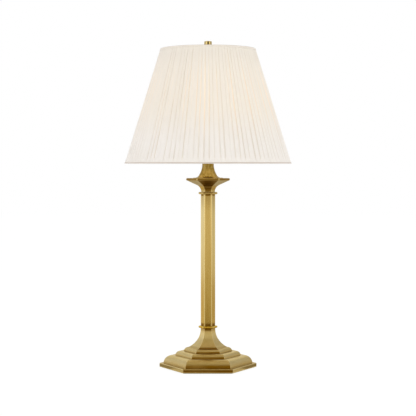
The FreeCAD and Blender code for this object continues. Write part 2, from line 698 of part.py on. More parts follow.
def make_harp_wire():
    """The bow: two legs, two leaning sides and a round top, all tangent."""
    side_x = harp_foot + harp_bend * (as_size(1) - harp_lean_degrees.cosine())
    bow_x = harp_bow * harp_lean_degrees.cosine()
    bow_z = harp_tall - harp_bow - harp_bow * harp_lean_degrees.sine()
    side_z = bow_z - (bow_x - side_x) * harp_lean_degrees.cosine() / harp_lean_degrees.sine()
    leg_z = side_z - harp_bend * harp_lean_degrees.sine()
    right = [(harp_foot, ZERO), (harp_foot, leg_z), (side_x, side_z), (bow_x, bow_z)]
    left = [(-x, z) for x, z in reversed(right)]
    body = new_body("harp_wire")
    path = sketch_on(body, "XZ_Plane", "harp_path")
    bends = {1: (harp_bend, 1), 3: (harp_bow, -1), 4: (harp_bow, -1), 6: (harp_bend, 1)}
    draw_path(path, right + [(ZERO, harp_tall)] + left, bends, closed=False)
    section = sketch_on(body, "XY_Plane", "harp_section")
    draw_circle(section, harp_radius, across=harp_foot)
    wire = body.newObject("PartDesign::AdditivePipe", "harp_bent")
    wire.Profile = section
    wire.Spine = (path, [])
    body.Tip = wire
    place(body, z=harp_base)
    finish(body, "harp_wire")


def make_harp_stud():
    stud = turned("harp_stud", [
        (ZERO, ZERO), (stud_block_radius, ZERO), (stud_block_radius, stud_block_tall),
        (stud_radius, stud_block_tall), (stud_radius, stud_block_tall + stud_tall),
        (ZERO, stud_block_tall + stud_tall)])
    hole = cylinder("stud_harp_hole", harp_radius + stud_hole_gap, stud_block_radius * 2,
                    x=-stud_block_radius, z=stud_block_tall / 2, turn=Turn(Vector(0, 1, 0), 90))
    drilled = cut("harp_stud_drilled", stud, hole)
    place(drilled, z=hub_seat - stud_block_tall)
    finish(drilled, "harp_stud")


def make_ferrule(name, x):
    ferrule = ring(name, ferrule_radius, harp_radius + ferrule_gap, ferrule_tall)
    place(ferrule, x=x, z=saddle_tab_top)
    finish(ferrule, name)


# ---------------------------------------------------------------- shade

pleat_deep_top = pleat_deep * (shade_top_radius / shade_bottom_radius)
liner_low = shade_bottom_radius - pleat_deep - pleat_back - skin_gap
liner_high = shade_top_radius - pleat_deep_top - pleat_back - skin_gap
shade_slope = (shade_bottom_radius - shade_top_radius) / shade_tall
shade_slant = (shade_slope * shade_slope + 1).root()


def on_cone(low, high, z):
    """Radius at a height of a cone given by its radii at the shade's two ends."""
    return low + (high - low) * (z / shade_tall)


def ring_middle(z):
    """Radius of a ring of round wire that lies against the liner at a height."""
    inside = on_cone(liner_low - liner_wall, liner_high - liner_wall, z)
    return inside - ring_wire * shade_slant - thread_gap


def make_shade_rings():
    for name, z in (("shade_bottom_ring", ring_inset), ("shade_top_ring", shade_tall - ring_inset)):
        wire = doc.addObject("Part::Torus", name + "_torus")
        bind(wire, Radius1=ring_middle(z), Radius2=ring_wire)
        place(wire, z=shade_base + z)
        finish(wire, name)


def make_spider():
    """The welded top fitting: a drilled hub and three cranked arms that reach the top ring."""
    ring_z = shade_drop - ring_inset
    mid_z = hub_thick / 2
    rise = ring_z - mid_z
    bend = rise / ((as_size(1) - arm_bend_degrees.cosine()) * 2)
    step = bend * arm_bend_degrees.sine()
    body = turned("spider", [(stud_radius + turning_gap, ZERO), (hub_radius, ZERO),
                             (hub_radius, hub_thick), (stud_radius + turning_gap, hub_thick)])
    root = hub_radius - arm_wire * 2
    end = ring_middle(shade_tall - ring_inset) - ring_wire - thread_gap
    path = sketch_on(body, "XZ_Plane", "arm_path")
    draw_path(path, [(root, mid_z), (arm_start, mid_z), (arm_start + step, mid_z + rise / 2),
                     (arm_start + step * 2, ring_z), (end, ring_z)],
              {1: (bend, -1), 2: (bend, 1)}, closed=False)
    section = sketch_on(body, "YZ_Plane", "arm_section")
    bind(section, AttachmentOffset__Base__z=root)
    draw_circle(section, arm_wire, up=mid_z)
    arm = body.newObject("PartDesign::AdditivePipe", "spider_arm")
    arm.Profile = section
    arm.Spine = (path, [])
    doc.recompute()
    arms = body.newObject("PartDesign::PolarPattern", "spider_arms")
    arms.Originals = [arm]
    arms.Axis = (path, ["V_Axis"])
    arms.Angle = 360
    bind(arms, Occurrences=arm_count)
    body.Tip = arms
    place(body, z=hub_seat)
    finish(body, "spider")


def make_shade_liner():
    liner = turned("shade_liner", [
        (liner_low - liner_wall, ZERO), (liner_low, ZERO), (liner_high, shade_tall),
        (liner_high - liner_wall, shade_tall)])
    place(liner, z=shade_base)
    finish(liner, "shade_liner")


def make_trims():
    """The rolled hems: flat bands that cover the ends of the pleats."""
    for name, low in (("bottom_trim", ZERO), ("top_trim", shade_tall - trim_tall)):
        high = low + trim_tall
        inner = [on_cone(liner_low, liner_high, z) + skin_gap for z in (low, high)]
        outer = [on_cone(shade_bottom_radius, shade_top_radius, z) + trim_proud for z in (low, high)]
        trim = turned(name, [
            (inner[0], ZERO), (outer[0], ZERO), (outer[1], trim_tall), (inner[1], trim_tall)])
        place(trim, z=shade_base + low)
        finish(trim, name)


def folded_wire(z, crest, valley):
    """A closed line round the cone at a height: crest, valley, crest and so on."""
    count = int(pleat_count.value)
    points = []
    for i in range(count * 2):
        angle = math.pi * i / count
        reach = (valley if i % 2 else crest).value
        points.append(Vector(reach * math.cos(angle), reach * math.sin(angle), z.value))
    return Part.makePolygon(points + points[:1])


def make_shade_pleats():
    """The pleated cloth between the two trims. Its folds narrow with the cone, so their sides are flat."""
    front, back = [], []
    for z in (trim_tall + skin_gap, shade_tall - trim_tall - skin_gap):
        crest = on_cone(shade_bottom_radius, shade_top_radius, z)
        front.append(folded_wire(z, crest, crest - on_cone(pleat_deep, pleat_deep_top, z)))
        inside = on_cone(liner_low, liner_high, z) + skin_gap
        back.append(folded_wire(z, inside, inside))
    skin = doc.addObject("Part::Feature", "shade_pleats_cloth")
    skin.Shape = Part.makeLoft(front, True, True).cut(Part.makeLoft(back, True, True))
    place(skin, z=shade_base)
    finish(skin, "shade_pleats")


def make_finial():
    waist_top = finial_foot_tall + finial_waist_tall
    knob_base = waist_top + finial_shoulder
    top = knob_base + finial_knob_tall
    hole = stud_radius + turning_gap
    finial = turned("finial", [
        (hole, ZERO), (finial_foot_radius, ZERO), (finial_foot_radius, finial_foot_tall),
        (finial_waist_radius, finial_foot_tall), (finial_waist_radius, waist_top),
        (finial_knob_radius, knob_base), (finial_knob_radius, top - finial_round),
        (finial_knob_radius - finial_round, top), (ZERO, top), (ZERO, finial_hole_deep),
        (hole, finial_hole_deep)],
        {6: (finial_round, -1)})
    place(finial, z=finial_base)
    finish(finial, "finial")


# ---------------------------------------------------------------- socket and switch

def make_socket_cap():
    bowl_top = hub_tall + bowl_round
    inner_round = bowl_round - cap_wall
    cap = turned("socket_cap", [
        (thread_hole, ZERO), (hub_barrel, ZERO), (hub_barrel, hub_tall), (bowl_radius, bowl_top),
        (bowl_radius, bowl_top + cap_side), (bowl_radius - cap_wall, bowl_top + cap_side),
        (bowl_radius - cap_wall, bowl_top), (hub_barrel, hub_tall + cap_wall),
        (hub_inside_radius, hub_tall + cap_wall), (hub_inside_radius, hub_inside),
        (thread_hole, hub_inside)],
        {2: (bowl_round, -1), 6: (inner_round, 1)})
    to_rear = Turn(Vector(1, 0, 0), -90)
    tapped = cut("socket_cap_tapped", cap, cylinder(
        "set_screw_hole", set_screw_radius + thread_gap, hub_barrel * 2, z=set_screw_rise, turn=to_rear))
    place(tapped, z=socket_base)
    finish(tapped, "socket_cap")

    screw = cylinder("set_screw", set_screw_radius, set_screw_long, y=thread_hole,
                     z=socket_base + set_screw_rise, turn=to_rear)
    finish(screw, "socket_set_screw")


def make_socket_tubes():
    shell_outer = bowl_radius - cap_wall - shell_gap
    shell_inner = shell_outer - shell_wall
    bead_low = shell_tall - shell_bead * 2
    shell = turned("socket_shell", [
        (shell_inner, ZERO), (shell_outer, ZERO), (shell_outer, bead_low),
        (shell_outer + shell_bead, bead_low + shell_bead), (shell_outer, shell_tall),
        (shell_inner, shell_tall)],
        {2: (shell_bead, -1), 3: (shell_bead, -1)})
    liner_outer = shell_inner - shell_gap
    liner = ring("socket_liner", liner_outer, liner_outer - liner_tube_wall, shell_tall - liner_short)
    to_front = Turn(Vector(1, 0, 0), 90)
    for name, tube in (("socket_shell", shell), ("socket_liner", liner)):
        hole = cylinder(name + "_switch_hole", switch_hole, bowl_radius * 2, z=switch_base - shell_base,
                        turn=to_front)
        pierced = cut(name + "_pierced", tube, hole)
        place(pierced, z=shell_base)
        finish(pierced, name)


def make_socket_core():
    core_end = core_foot_tall + core_tall
    core = turned("socket_core", [
        (ZERO, ZERO), (core_foot_radius, ZERO), (core_foot_radius, core_foot_tall),
        (core_radius, core_foot_tall), (core_radius, core_end), (ZERO, core_end)])
    terminal_z = core_foot_tall + terminal_rise
    pocket_floor = core_radius - terminal_deep
    holes = [cylinder("core_switch_hole", switch_radius + turning_gap, core_radius,
                      y=-(switch_inside - turning_gap), z=core_foot_tall + switch_rise,
                      turn=Turn(Vector(1, 0, 0), 90))]
    for side, angle in (("right", 90), ("left", -90)):
        reach = pocket_floor if side == "right" else -pocket_floor
        root = pocket_floor - terminal_deep
        start = root if side == "right" else -root
        outward = Turn(Vector(0, 1, 0), angle)
        holes.append(cylinder(f"terminal_pocket_{side}", terminal_pocket, terminal_deep * 2, x=reach,
                              z=terminal_z, turn=outward))
        holes.append(cylinder(f"terminal_hole_{side}", terminal_shank + thread_gap, terminal_deep * 2,
                              x=start, z=terminal_z, turn=outward))
    drilled = cut("socket_core_drilled", core, combined("Part::MultiFuse", "core_holes", holes))
    place(drilled, z=shoulder_base - core_foot_tall)
    finish(drilled, "socket_core")


def make_terminal_screws():
    """Two alike, one on each side of the core, kept as one node."""
    floor = core_radius - terminal_deep
    root = floor - terminal_deep
    screws = []
    for side, angle in (("right", 90), ("left", -90)):
        screw = turned(f"terminal_screw_{side}", [
            (ZERO, root), (terminal_shank, root), (terminal_shank, floor), (terminal_radius, floor),
            (terminal_radius, floor + terminal_head), (ZERO, floor + terminal_head)])
        place(screw, turn=Turn(Vector(0, 1, 0), angle))
        screws.append(screw)
    pair = doc.addObject("Part::Compound", "terminal_screw_pair")
    pair.Links = screws
    place(pair, z=shoulder_base + terminal_rise)
    finish(pair, "terminal_screws")


def make_contacts():
    thread_shell = ring("screw_shell", thread_shell_radius, thread_shell_radius - thread_shell_wall,
                        thread_shell_tall)
    place(thread_shell, z=core_top)
    finish(thread_shell, "screw_shell")

    body = new_body("centre_contact")
    sketch = sketch_on(body, "XZ_Plane", "contact_outline")
    half = contact_long / 2
    crown = contact_wide / 4
    draw_path(sketch, [
        (-half, ZERO), (-crown * 2, ZERO), (-crown, contact_spring), (crown, contact_spring),
        (crown * 2, ZERO), (half, ZERO), (half, contact_thick), (crown * 2, contact_thick),
        (crown, contact_spring + contact_thick), (-crown, contact_spring + contact_thick),
        (-crown * 2, contact_thick), (-half, contact_thick)])
    strip = body.newObject("PartDesign::Pad", "contact_strip")
    strip.Profile = sketch
    strip.Midplane = True
    bind(strip, Length=contact_wide)
    body.Tip = strip
    place(body, z=core_top)
    finish(body, "centre_contact")


def make_switch():
    shaft = cylinder("switch_shaft_round", switch_radius, switch_reach - switch_inside,
                     y=-switch_inside, z=switch_base, turn=Turn(Vector(1, 0, 0), 90))
    finish(shaft, "switch_shaft")

    body = new_body("switch_key_paddle")
    sketch = sketch_on(body, "XY_Plane", "key_outline")
    half = key_wide / 2
    tip = -(key_start + key_long)
    draw_path(sketch, [
        (half, -key_start), (-half, -key_start), (-half, tip + key_round), (-(half - key_round), tip),
        (half - key_round, tip), (half, tip + key_round)],
        {2: (key_round, -1), 4: (key_round, -1)})
    paddle = body.newObject("PartDesign::Pad", "key_paddle")
    paddle.Profile = sketch
    paddle.Midplane = True
    bind(paddle, Length=key_thick)
    body.Tip = paddle
    to_front = Turn(Vector(1, 0, 0), 90)
    boss = cylinder("key_boss", key_boss, switch_reach - key_start + key_boss, y=-(key_start - key_boss / 2),
                    turn=to_front)
    solid = combined("Part::MultiFuse", "key_solid", [body, boss])
    hole = cylinder("key_hole", switch_radius + thread_gap, switch_reach - key_start + key_boss,
                    y=-(key_start - key_boss), turn=to_front)
    key = cut("key_drilled", solid, hole)
    place(key, z=switch_base)
    finish(key, "switch_key")


# ---------------------------------------------------------------- bulb

def make_bulb_base():
    contact = cylinder("bulb_contact_button", bulb_contact_radius, bulb_contact_tall, z=bulb_base)
    finish(contact, "bulb_contact")

    insulator = turned("bulb_insulator", [
        (ZERO, ZERO), (bulb_contact_radius, ZERO), (bulb_insulator_radius, bulb_insulator_tall),
        (ZERO, bulb_insulator_tall)])
    place(insulator, z=bulb_base + bulb_contact_tall)
    finish(insulator, "bulb_insulator")

    inner = bulb_thread_radius - bulb_cap_wall
    hole = bulb_contact_radius + bulb_cap_wall
    shell = turned("bulb_cap", [
        (hole, ZERO), (bulb_thread_radius, ZERO), (bulb_thread_radius, bulb_cap_tall),
        (inner, bulb_cap_tall), (inner, bulb_cap_wall), (hole, bulb_cap_wall)])
    place(shell, z=bulb_cap_base)
    finish(shell, "bulb_cap")


def make_bulb_glass():
    """A pear-shaped bulb: neck, hollow curve and ball, all tangent, of even wall."""
    neck = glass_neck_radius
    across = neck + glass_ease
    centres = glass_ease + glass_radius
    fall = (centres * centres - across * across).root()
    ball_z = glass_lap + fall
    inner_ball = glass_radius - glass_wall

    def join(reach):
        """The point of the tangent on the ball, for a surface that is reach from the ball's middle."""
        share = reach / centres
        return across * share, ball_z - fall * share

    glass = turned("bulb_glass", [
        (neck - glass_wall, ZERO), (neck, ZERO), (neck, glass_lap), join(glass_radius),
        (ZERO, ball_z + glass_radius), (ZERO, ball_z + inner_ball), join(inner_ball),
        (neck - glass_wall, glass_lap)],
        {2: (glass_ease, 1), 3: (glass_radius, -1), 5: (inner_ball, 1), 6: (glass_ease + glass_wall, -1)})
    place(glass, z=glass_base)
    finish(glass, "bulb_glass")


def make_bulb_stem():
    flare = glass_neck_radius - glass_wall - skin_gap
    stem = turned("bulb_stem", [
        (ZERO, ZERO), (flare, ZERO), (flare, glass_wall), (stem_post_radius, stem_glass_radius),
        (stem_post_radius, stem_post_tall), (ZERO, stem_post_tall)])
    place(stem, z=glass_base)
    finish(stem, "bulb_stem")

    sketch = free_sketch("lead_outline", Turn(Vector(1, 0, 0), 90))
    foot_in = lead_radius
    foot_out = lead_radius * 3
    top_in = lead_apart - lead_radius * 2
    draw_path(sketch, [(foot_in, ZERO), (foot_out, ZERO), (lead_apart, lead_tall), (top_in, lead_tall)])
    draw_path(sketch, [(-foot_in, ZERO), (-foot_out, ZERO), (-lead_apart, lead_tall), (-top_in, lead_tall)])
    leads = doc.addObject("Part::Extrusion", "filament_leads")
    leads.Base = sketch
    leads.DirMode = "Normal"
    leads.Symmetric = True
    leads.Solid = True
    bind(leads, LengthFwd=lead_radius * 2)
    coil = cylinder("filament_coil", filament_radius, lead_apart * 2, x=-lead_apart, z=lead_tall,
                    turn=Turn(Vector(0, 1, 0), 90))
    filament = combined("Part::MultiFuse", "filament_solid", [leads, coil])
    place(filament, z=glass_base + stem_post_tall)
    finish(filament, "bulb_filament")


glass_neck_radius = bulb_thread_radius - bulb_cap_wall - skin_gap
glass_base = bulb_cap_base + bulb_cap_tall - glass_lap


# ---------------------------------------------------------------- the lamp

def make_lamp():
    make_felt_pad()
    make_foot()
    make_cord_bushing()
    make_weight_and_fastenings()
    make_pedestal()
    make_collar("lower_collar", collar_base, None)
    make_column()
    make_collar("upper_collar", capital_base, Turn(Vector(1, 0, 0), 180))
    make_capital()
    make_neck()
    make_harp_saddle()
    make_harp_wire()
    make_harp_stud()
    make_ferrule("harp_ferrule_right", harp_foot)
    make_ferrule("harp_ferrule_left", -harp_foot)
    make_socket_cap()
    make_socket_tubes()
    make_socket_core()
    make_terminal_screws()
    make_contacts()
    make_switch()
    make_bulb_base()
    make_bulb_glass()
    make_bulb_stem()
    make_spider()
    make_shade_rings()
    make_shade_liner()
    make_shade_pleats()
    make_trims()
    make_finial()


def check_and_write():
    """Stops if anything failed, then writes each sub-part to its own file."""
    doc.recompute()
    for thing in doc.Objects:
        if "Invalid" in thing.State or "Error" in thing.State:
            raise RuntimeError(f"{thing.Name} failed: {thing.State}")
    os.makedirs("parts", exist_ok=True)
    for thing in pieces:
        shape = thing.Shape
        if shape.isNull() or not shape.isValid():
            raise RuntimeError(f"{thing.Label} has no valid shape")
        box = shape.BoundBox
        print(f"{thing.Label:20s} solids {len(shape.Solids)} volume {shape.Volume:12.1f} "
              f"z {box.ZMin:8.2f} to {box.ZMax:8.2f} x {box.XMin:8.2f} to {box.XMax:8.2f} "
              f"y {box.YMin:8.2f} to {box.YMax:8.2f}")
        shape.exportStep(f"parts/{thing.Label}.step")


make_lamp()
check_and_write()
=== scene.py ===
# %% [markdown]
# # Candlestick lamp
# A six-sided brass candlestick made into a table lamp, with a pleated cone shade. Every length in the
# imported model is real, so this lesson dresses that model instead of drawing its own: the mouldings get
# softened edges, the shade gets real pleats, and every surface gets a finish.

import math
import random

import bmesh
import bpy
from mathutils import Matrix, Vector, noise


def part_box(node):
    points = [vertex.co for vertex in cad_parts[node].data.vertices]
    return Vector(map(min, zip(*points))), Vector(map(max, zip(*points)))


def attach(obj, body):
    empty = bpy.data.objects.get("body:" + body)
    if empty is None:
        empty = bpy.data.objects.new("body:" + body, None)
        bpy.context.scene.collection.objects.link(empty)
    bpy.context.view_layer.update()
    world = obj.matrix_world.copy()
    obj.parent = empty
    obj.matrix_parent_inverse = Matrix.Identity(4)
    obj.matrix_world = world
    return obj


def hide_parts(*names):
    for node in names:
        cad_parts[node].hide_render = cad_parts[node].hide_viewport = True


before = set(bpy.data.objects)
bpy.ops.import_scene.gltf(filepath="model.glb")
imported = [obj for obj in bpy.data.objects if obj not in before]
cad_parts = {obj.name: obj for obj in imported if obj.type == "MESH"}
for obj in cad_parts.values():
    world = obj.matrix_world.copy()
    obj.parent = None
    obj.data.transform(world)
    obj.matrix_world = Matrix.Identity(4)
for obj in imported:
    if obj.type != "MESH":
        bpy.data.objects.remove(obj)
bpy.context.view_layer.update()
MM = 0.001
FULL_TURN = 2 * math.pi

# %% [markdown]
# ## Camera
# The lamp is seen from about three metres through a long lens, a little above its middle and looking
# slightly down. A long lens keeps the column's sides straight, and the small tilt shows the tops of the
# foot's steps.

# %% Place the camera
LENS_MM = 112.29
SENSOR_MM = 36.0
CAMERA_SPOT = (0.0, -2.98243, 0.46692)
LOOK_DOWN = 0.03317
camera_data = bpy.data.cameras.new("camera")
camera_data.lens = LENS_MM
camera_data.sensor_width = SENSOR_MM
camera = bpy.data.objects.new("camera", camera_data)
camera.location = CAMERA_SPOT
camera.rotation_euler = (math.pi / 2 - LOOK_DOWN, 0.0, 0.0)
bpy.context.scene.collection.objects.link(camera)
bpy.context.scene.camera = camera
print("camera looks down", round(math.degrees(LOOK_DOWN), 2), "degrees")

# %% [markdown]
# ## A short way to write finishes
# A material is a graph of nodes. Wiring it by hand hides the sums, so a value that leaves a node is
# wrapped in a small class whose plus, minus and times each add one Math node. Every other node comes
# from one method: its kind, its settings, then what goes into its sockets.

# %% Values that flow between nodes
class Flow:
    """One number, vector or colour on its way through a finish."""

    def __init__(self, finish, socket):
        self.finish = finish
        self.socket = socket

    def maths(self, operation, *terms):
        return self.finish.node("ShaderNodeMath", {"operation": operation}, dict(enumerate(terms)))

    def __add__(self, other):
        return self.maths("ADD", self, other)

    def __radd__(self, other):
        return self.maths("ADD", other, self)

    def __sub__(self, other):
        return self.maths("SUBTRACT", self, other)

    def __rsub__(self, other):
        return self.maths("SUBTRACT", other, self)

    def __mul__(self, other):
        return self.maths("MULTIPLY", self, other)

    def __pow__(self, other):
        return self.maths("POWER", self, other)

    def __abs__(self):
        return self.maths("ABSOLUTE", self)

    def largest(self, other):
        return self.maths("MAXIMUM", self, other)

    def smallest(self, other):
        return self.maths("MINIMUM", self, other)

    def rise(self, low, high):
        """0 below low, 1 above high, and an easy curve between."""
        return self.finish.node("ShaderNodeMapRange", {"interpolation_type": "SMOOTHSTEP"},
                                {"Value": self, "From Min": low, "From Max": high})


class Graph:
    """A tree of nodes that is written as sums."""

    def __init__(self, tree):
        self.tree = tree

    def node(self, kind, settings=None, sockets=None, output=0):
        made = self.tree.nodes.new(kind)
        for key, value in (settings or {}).items():
            setattr(made, key, value)
        for key, value in (sockets or {}).items():
            self.feed(made.inputs[key], value)
        return Flow(self, made.outputs[output])

    def feed(self, socket, value):
        if isinstance(value, Flow):
            self.tree.links.new(value.socket, socket)
        else:
            socket.default_value = value

    def place(self):
        return self.node("ShaderNodeTexCoord", output="Object")

    def split(self, vector):
        first = self.node("ShaderNodeSeparateXYZ", {}, {"Vector": vector})
        return [Flow(self, socket) for socket in first.socket.node.outputs]

    def rays(self, *kinds):
        """1 for rays of any of the named kinds."""
        path = self.node("ShaderNodeLightPath").socket.node
        total = Flow(self, path.outputs[kinds[0]])
        for kind in kinds[1:]:
            total = total.largest(Flow(self, path.outputs[kind]))
        return total

    def join(self, x, y, z):
        return self.node("ShaderNodeCombineXYZ", {}, {"X": x, "Y": y, "Z": z})

    def noise(self, vector, scale=1.0, detail=2.0, roughness=0.5):
        return self.node("ShaderNodeTexNoise", {}, {"Vector": vector, "Scale": scale, "Detail": detail,
                                                    "Roughness": roughness})

    def blend(self, first, second, share):
        return self.node("ShaderNodeMix", {"data_type": "RGBA"}, {0: share, 6: first, 7: second}, 2)


class Finish(Graph):
    """A named material with one shader."""

    def __init__(self, name, **constants):
        self.material = bpy.data.materials.new(name)
        self.material.use_nodes = True
        super().__init__(self.material.node_tree)
        self.shader = self.tree.nodes["Principled BSDF"]
        self.give(**constants)

    def give(self, **values):
        for socket, value in values.items():
            self.feed(self.shader.inputs[socket.replace("_", " ")], value)

    def relief(self, height, strength, depth):
        self.give(Normal=self.node("ShaderNodeBump", {}, {"Height": height, "Strength": strength,
                                                          "Distance": depth}))

    def show(self, shader):
        self.feed(self.tree.nodes["Material Output"].inputs["Surface"], shader)


def colour(red, green, blue):
    return (red, green, blue, 1.0)


print("finish writer ready")

# %% [markdown]
# ## Antique brass
# The brass was cast or turned, brushed, toned brown and rubbed back. The arrises and the mitres between two
# faces are painted lighter, partly as rubbed wear and partly as a painted highlight, and the inner corners
# are painted brown, partly as patina and partly as painted shade. Each group of pieces was brushed another
# way, so one function writes the metal and is told how far a point is from a mitre, which lines are inner
# corners, and along which grain the brush ran.

# %% Tones of the brass
# The lightest tone stands for rubbed wear and a painted highlight, and the brown for patina and painted
# shade.
BRASS_WEAR_HIGHLIGHT = colour(0.74, 0.60, 0.30)
BRASS_PLAIN = colour(0.65, 0.515, 0.235)
BRASS_DEEP = colour(0.55, 0.405, 0.145)
BRASS_PATINA_AND_SHADE = colour(0.20, 0.095, 0.0)
BRASS_EDGE = colour(0.93, 0.88, 0.74)
MOST_PATINA_AND_SHADE = 0.97
COLLAR_GOLD = colour(0.74, 0.52, 0.09)
COLLAR_DEEP = colour(0.62, 0.38, 0.03)
# The neck's two tones make its streaks, which are painted reflections.
NECK_REFLECTED_GOLD = colour(0.66, 0.50, 0.16)
NECK_REFLECTED_DARK = colour(0.29, 0.175, 0.015)


def near_corners(finish, reach, height, corners):
    """1 near the given corners, which are (reach, height, size) in millimetres, and 0 away from them."""
    nearness = None
    for corner_reach, corner_height, size in corners:
        across = reach - corner_reach * MM
        up = height - corner_height * MM
        gap = (across * across + up * up) ** 0.5
        mask = 1 - gap.rise(size * 0.4 * MM, size * MM)
        nearness = mask if nearness is None else nearness.largest(mask)
    return nearness


def write_brass(finish, grain, broad, wear_and_highlight, patina_and_shade, depth=0.03 * MM, rough=0.25, gold=BRASS_PLAIN,
                deep=BRASS_DEEP):
    """Colours and roughens a brass finish from its grain and its two masks: rubbed wear with a painted
    highlight, and patina with painted shade.
    """
    finish.give(Metallic=1.0, Specular_Tint=BRASS_EDGE)
    brushed = finish.noise(grain, detail=3.0, roughness=0.6)
    clouds = finish.noise(broad, scale=26.0, detail=3.0)
    mottling = finish.noise(broad, scale=210.0, detail=2.0)
    tone = (brushed * 0.5 + clouds * 0.35 + mottling * 0.15).rise(0.36, 0.64)
    metal = finish.blend(deep, gold, tone)
    # Mitres, arrises and the neck's streaks are painted lighter: rubbed wear, painted highlight and painted
    # reflection.
    metal = finish.blend(metal, BRASS_WEAR_HIGHLIGHT, wear_and_highlight * (0.35 + clouds * 0.5))
    # Inner corners are painted brown: patina and painted shade.
    patina_and_shade_share = patina_and_shade * (0.62 + clouds * 0.6) * (1 - wear_and_highlight * 0.8)
    metal = finish.blend(metal, BRASS_PATINA_AND_SHADE, patina_and_shade_share.smallest(MOST_PATINA_AND_SHADE))
    finish.give(Base_Color=metal,
                Roughness=rough + brushed * 0.12 + patina_and_shade_share * 0.15 - wear_and_highlight * 0.05)
    finish.relief(brushed * 0.8 + mottling * 0.2, 0.35, depth)


print("brass tones:", BRASS_PLAIN[:3])

# %% [markdown]
# ## Measuring a hexagon inside a finish
# The mouldings have six faces. The distance from the axis to the face that a point lies on is the largest of
# three projections, and the smallest of them is 0 exactly on a mitre. Those two numbers place both the brush
# lines, which run along a moulding, and the mitres painted lighter as wear and painted highlight, with no
# image.

# %% Hexagon coordinates
SIXTY_SINE = 0.8660254
MOULDED_GRAIN = 2300.0
DRAWN_GRAIN = 1500.0
TURNED_GRAIN = 2600.0


def hexagon_measures(finish):
    """The place and its parts, then how far a point's face is from the axis and the point from a mitre."""
    where = finish.place()
    x, y, z = finish.split(where)
    first = abs(y)
    second = abs(y * 0.5 + x * SIXTY_SINE)
    third = abs(y * 0.5 - x * SIXTY_SINE)
    reach = first.largest(second).largest(third)
    off_mitre = first.smallest(second).smallest(third)
    return where, x, y, z, reach, off_mitre


def moulded_brass(name, corners, mitre=1.1, arrises=(), on_sides=0.35, all_round=(), **tones):
    """Brass brushed along six-sided mouldings. Its inner corners are darkened, partly as patina and partly
    as painted shade, and more on the front and rear faces than on the others, which get the share on_sides;
    that front and rear excess is painted shade. The corners in all_round are darkened on every face."""
    finish = Finish(name)
    where, _, y, z, reach, off_mitre = hexagon_measures(finish)
    grain = finish.join(reach * MOULDED_GRAIN, z * MOULDED_GRAIN, off_mitre * 45.0)
    # Mitres and arrises painted lighter: rubbed wear and a painted highlight.
    wear_and_highlight = 1 - off_mitre.rise(mitre * 0.25 * MM, mitre * MM)
    if arrises:
        wear_and_highlight = wear_and_highlight.largest(near_corners(finish, reach, z, arrises) * 0.6)
    # Full corner darkening on the front and rear faces, only on_sides of it on the others: painted shade.
    front_rear_painted_shade = 1 - (reach - abs(y)).rise(0.2 * MM, 1.4 * MM) * (1 - on_sides)
    patina_and_shade = near_corners(finish, reach, z, corners) * front_rear_painted_shade
    if all_round:
        patina_and_shade = patina_and_shade.largest(near_corners(finish, reach, z, all_round) * 0.9)
    write_brass(finish, grain, where, wear_and_highlight, patina_and_shade, **tones)
    return finish


def drawn_brass(name, corners, mitre=2.3, rough=0.15):
    """Brass brushed up and down, as on the column, and darkened towards its last corner by a painted shade.
    """
    finish = Finish(name)
    _, x, y, z, reach, off_mitre = hexagon_measures(finish)
    grain = finish.join(x * DRAWN_GRAIN, y * DRAWN_GRAIN, z * 26.0)
    streaks = finish.join(x * 4.0, y * 4.0, z * 0.3)
    # Mitres painted lighter: rubbed wear and a painted highlight.
    wear_and_highlight = 1 - off_mitre.rise(mitre * 0.4 * MM, mitre * 1.6 * MM)
    top = corners[-1][1] * MM
    painted_top_shade = z.rise(top - 45 * MM, top) * 0.4
    patina_and_shade = near_corners(finish, reach, z, corners).largest(painted_top_shade)
    write_brass(finish, grain, streaks, wear_and_highlight, patina_and_shade, 0.012 * MM, rough)
    return finish


def turned_brass(name, corners, drawn_out=(1.0, 1.0), **tones):
    """Brass polished while it turned, so that its lines are rings, with broad light patches drawn out as
    drawn_out says; on the neck these make streaks that are painted reflections.
    """
    finish = Finish(name)
    where = finish.place()
    x, y, z = finish.split(where)
    reach = (x * x + y * y) ** 0.5
    grain = finish.join(reach * TURNED_GRAIN, z * TURNED_GRAIN, (x + y) * 30.0)
    patina_and_shade = near_corners(finish, reach, z, corners)
    broad = finish.join(x * drawn_out[0], y * drawn_out[0], z * drawn_out[1])
    # Broad light patches, drawn out into painted reflection streaks on the neck.
    wear_and_highlight = finish.noise(broad, scale=60.0).rise(0.55, 0.8)
    write_brass(finish, grain, broad, wear_and_highlight, patina_and_shade, 0.008 * MM, 0.12, **tones)
    return finish


print("three brushed brasses ready")

# %% [markdown]
# ## Mouldings from an outline
# Each brass piece is an outline carried round the axis. Six steps of a spin give a six-sided moulding
# with true mitres, and many steps give a turned one, so one function makes both. The outline is bevelled
# first, as a line, which rounds the arrises; the mitres are bevelled afterwards.

# %% Outlines
SHARP_BELOW = math.radians(155)


def outline_points(outline, turn_per_step=8.0):
    """Plain (reach, height) points. A point with a radius is reached by an arc, outward or inward."""
    points = []
    for entry in outline:
        end = Vector((entry[0], entry[1]))
        if len(entry) > 2:
            start = points[-1]
            radius = abs(entry[2])
            chord = end - start
            middle = (start + end) / 2
            square = Vector((-chord.y, chord.x)).normalized()
            depth = math.sqrt(max(radius ** 2 - (chord.length / 2) ** 2, 0.0))
            centre = middle + square * math.copysign(depth, entry[2])
            turn = (start - centre).angle_signed(end - centre)
            steps = max(2, round(abs(math.degrees(turn)) / turn_per_step))
            for i in range(1, steps):
                spoke = start - centre
                spoke.rotate(Matrix.Rotation(-turn * i / steps, 2))
                points.append(centre + spoke)
        points.append(end)
    return points


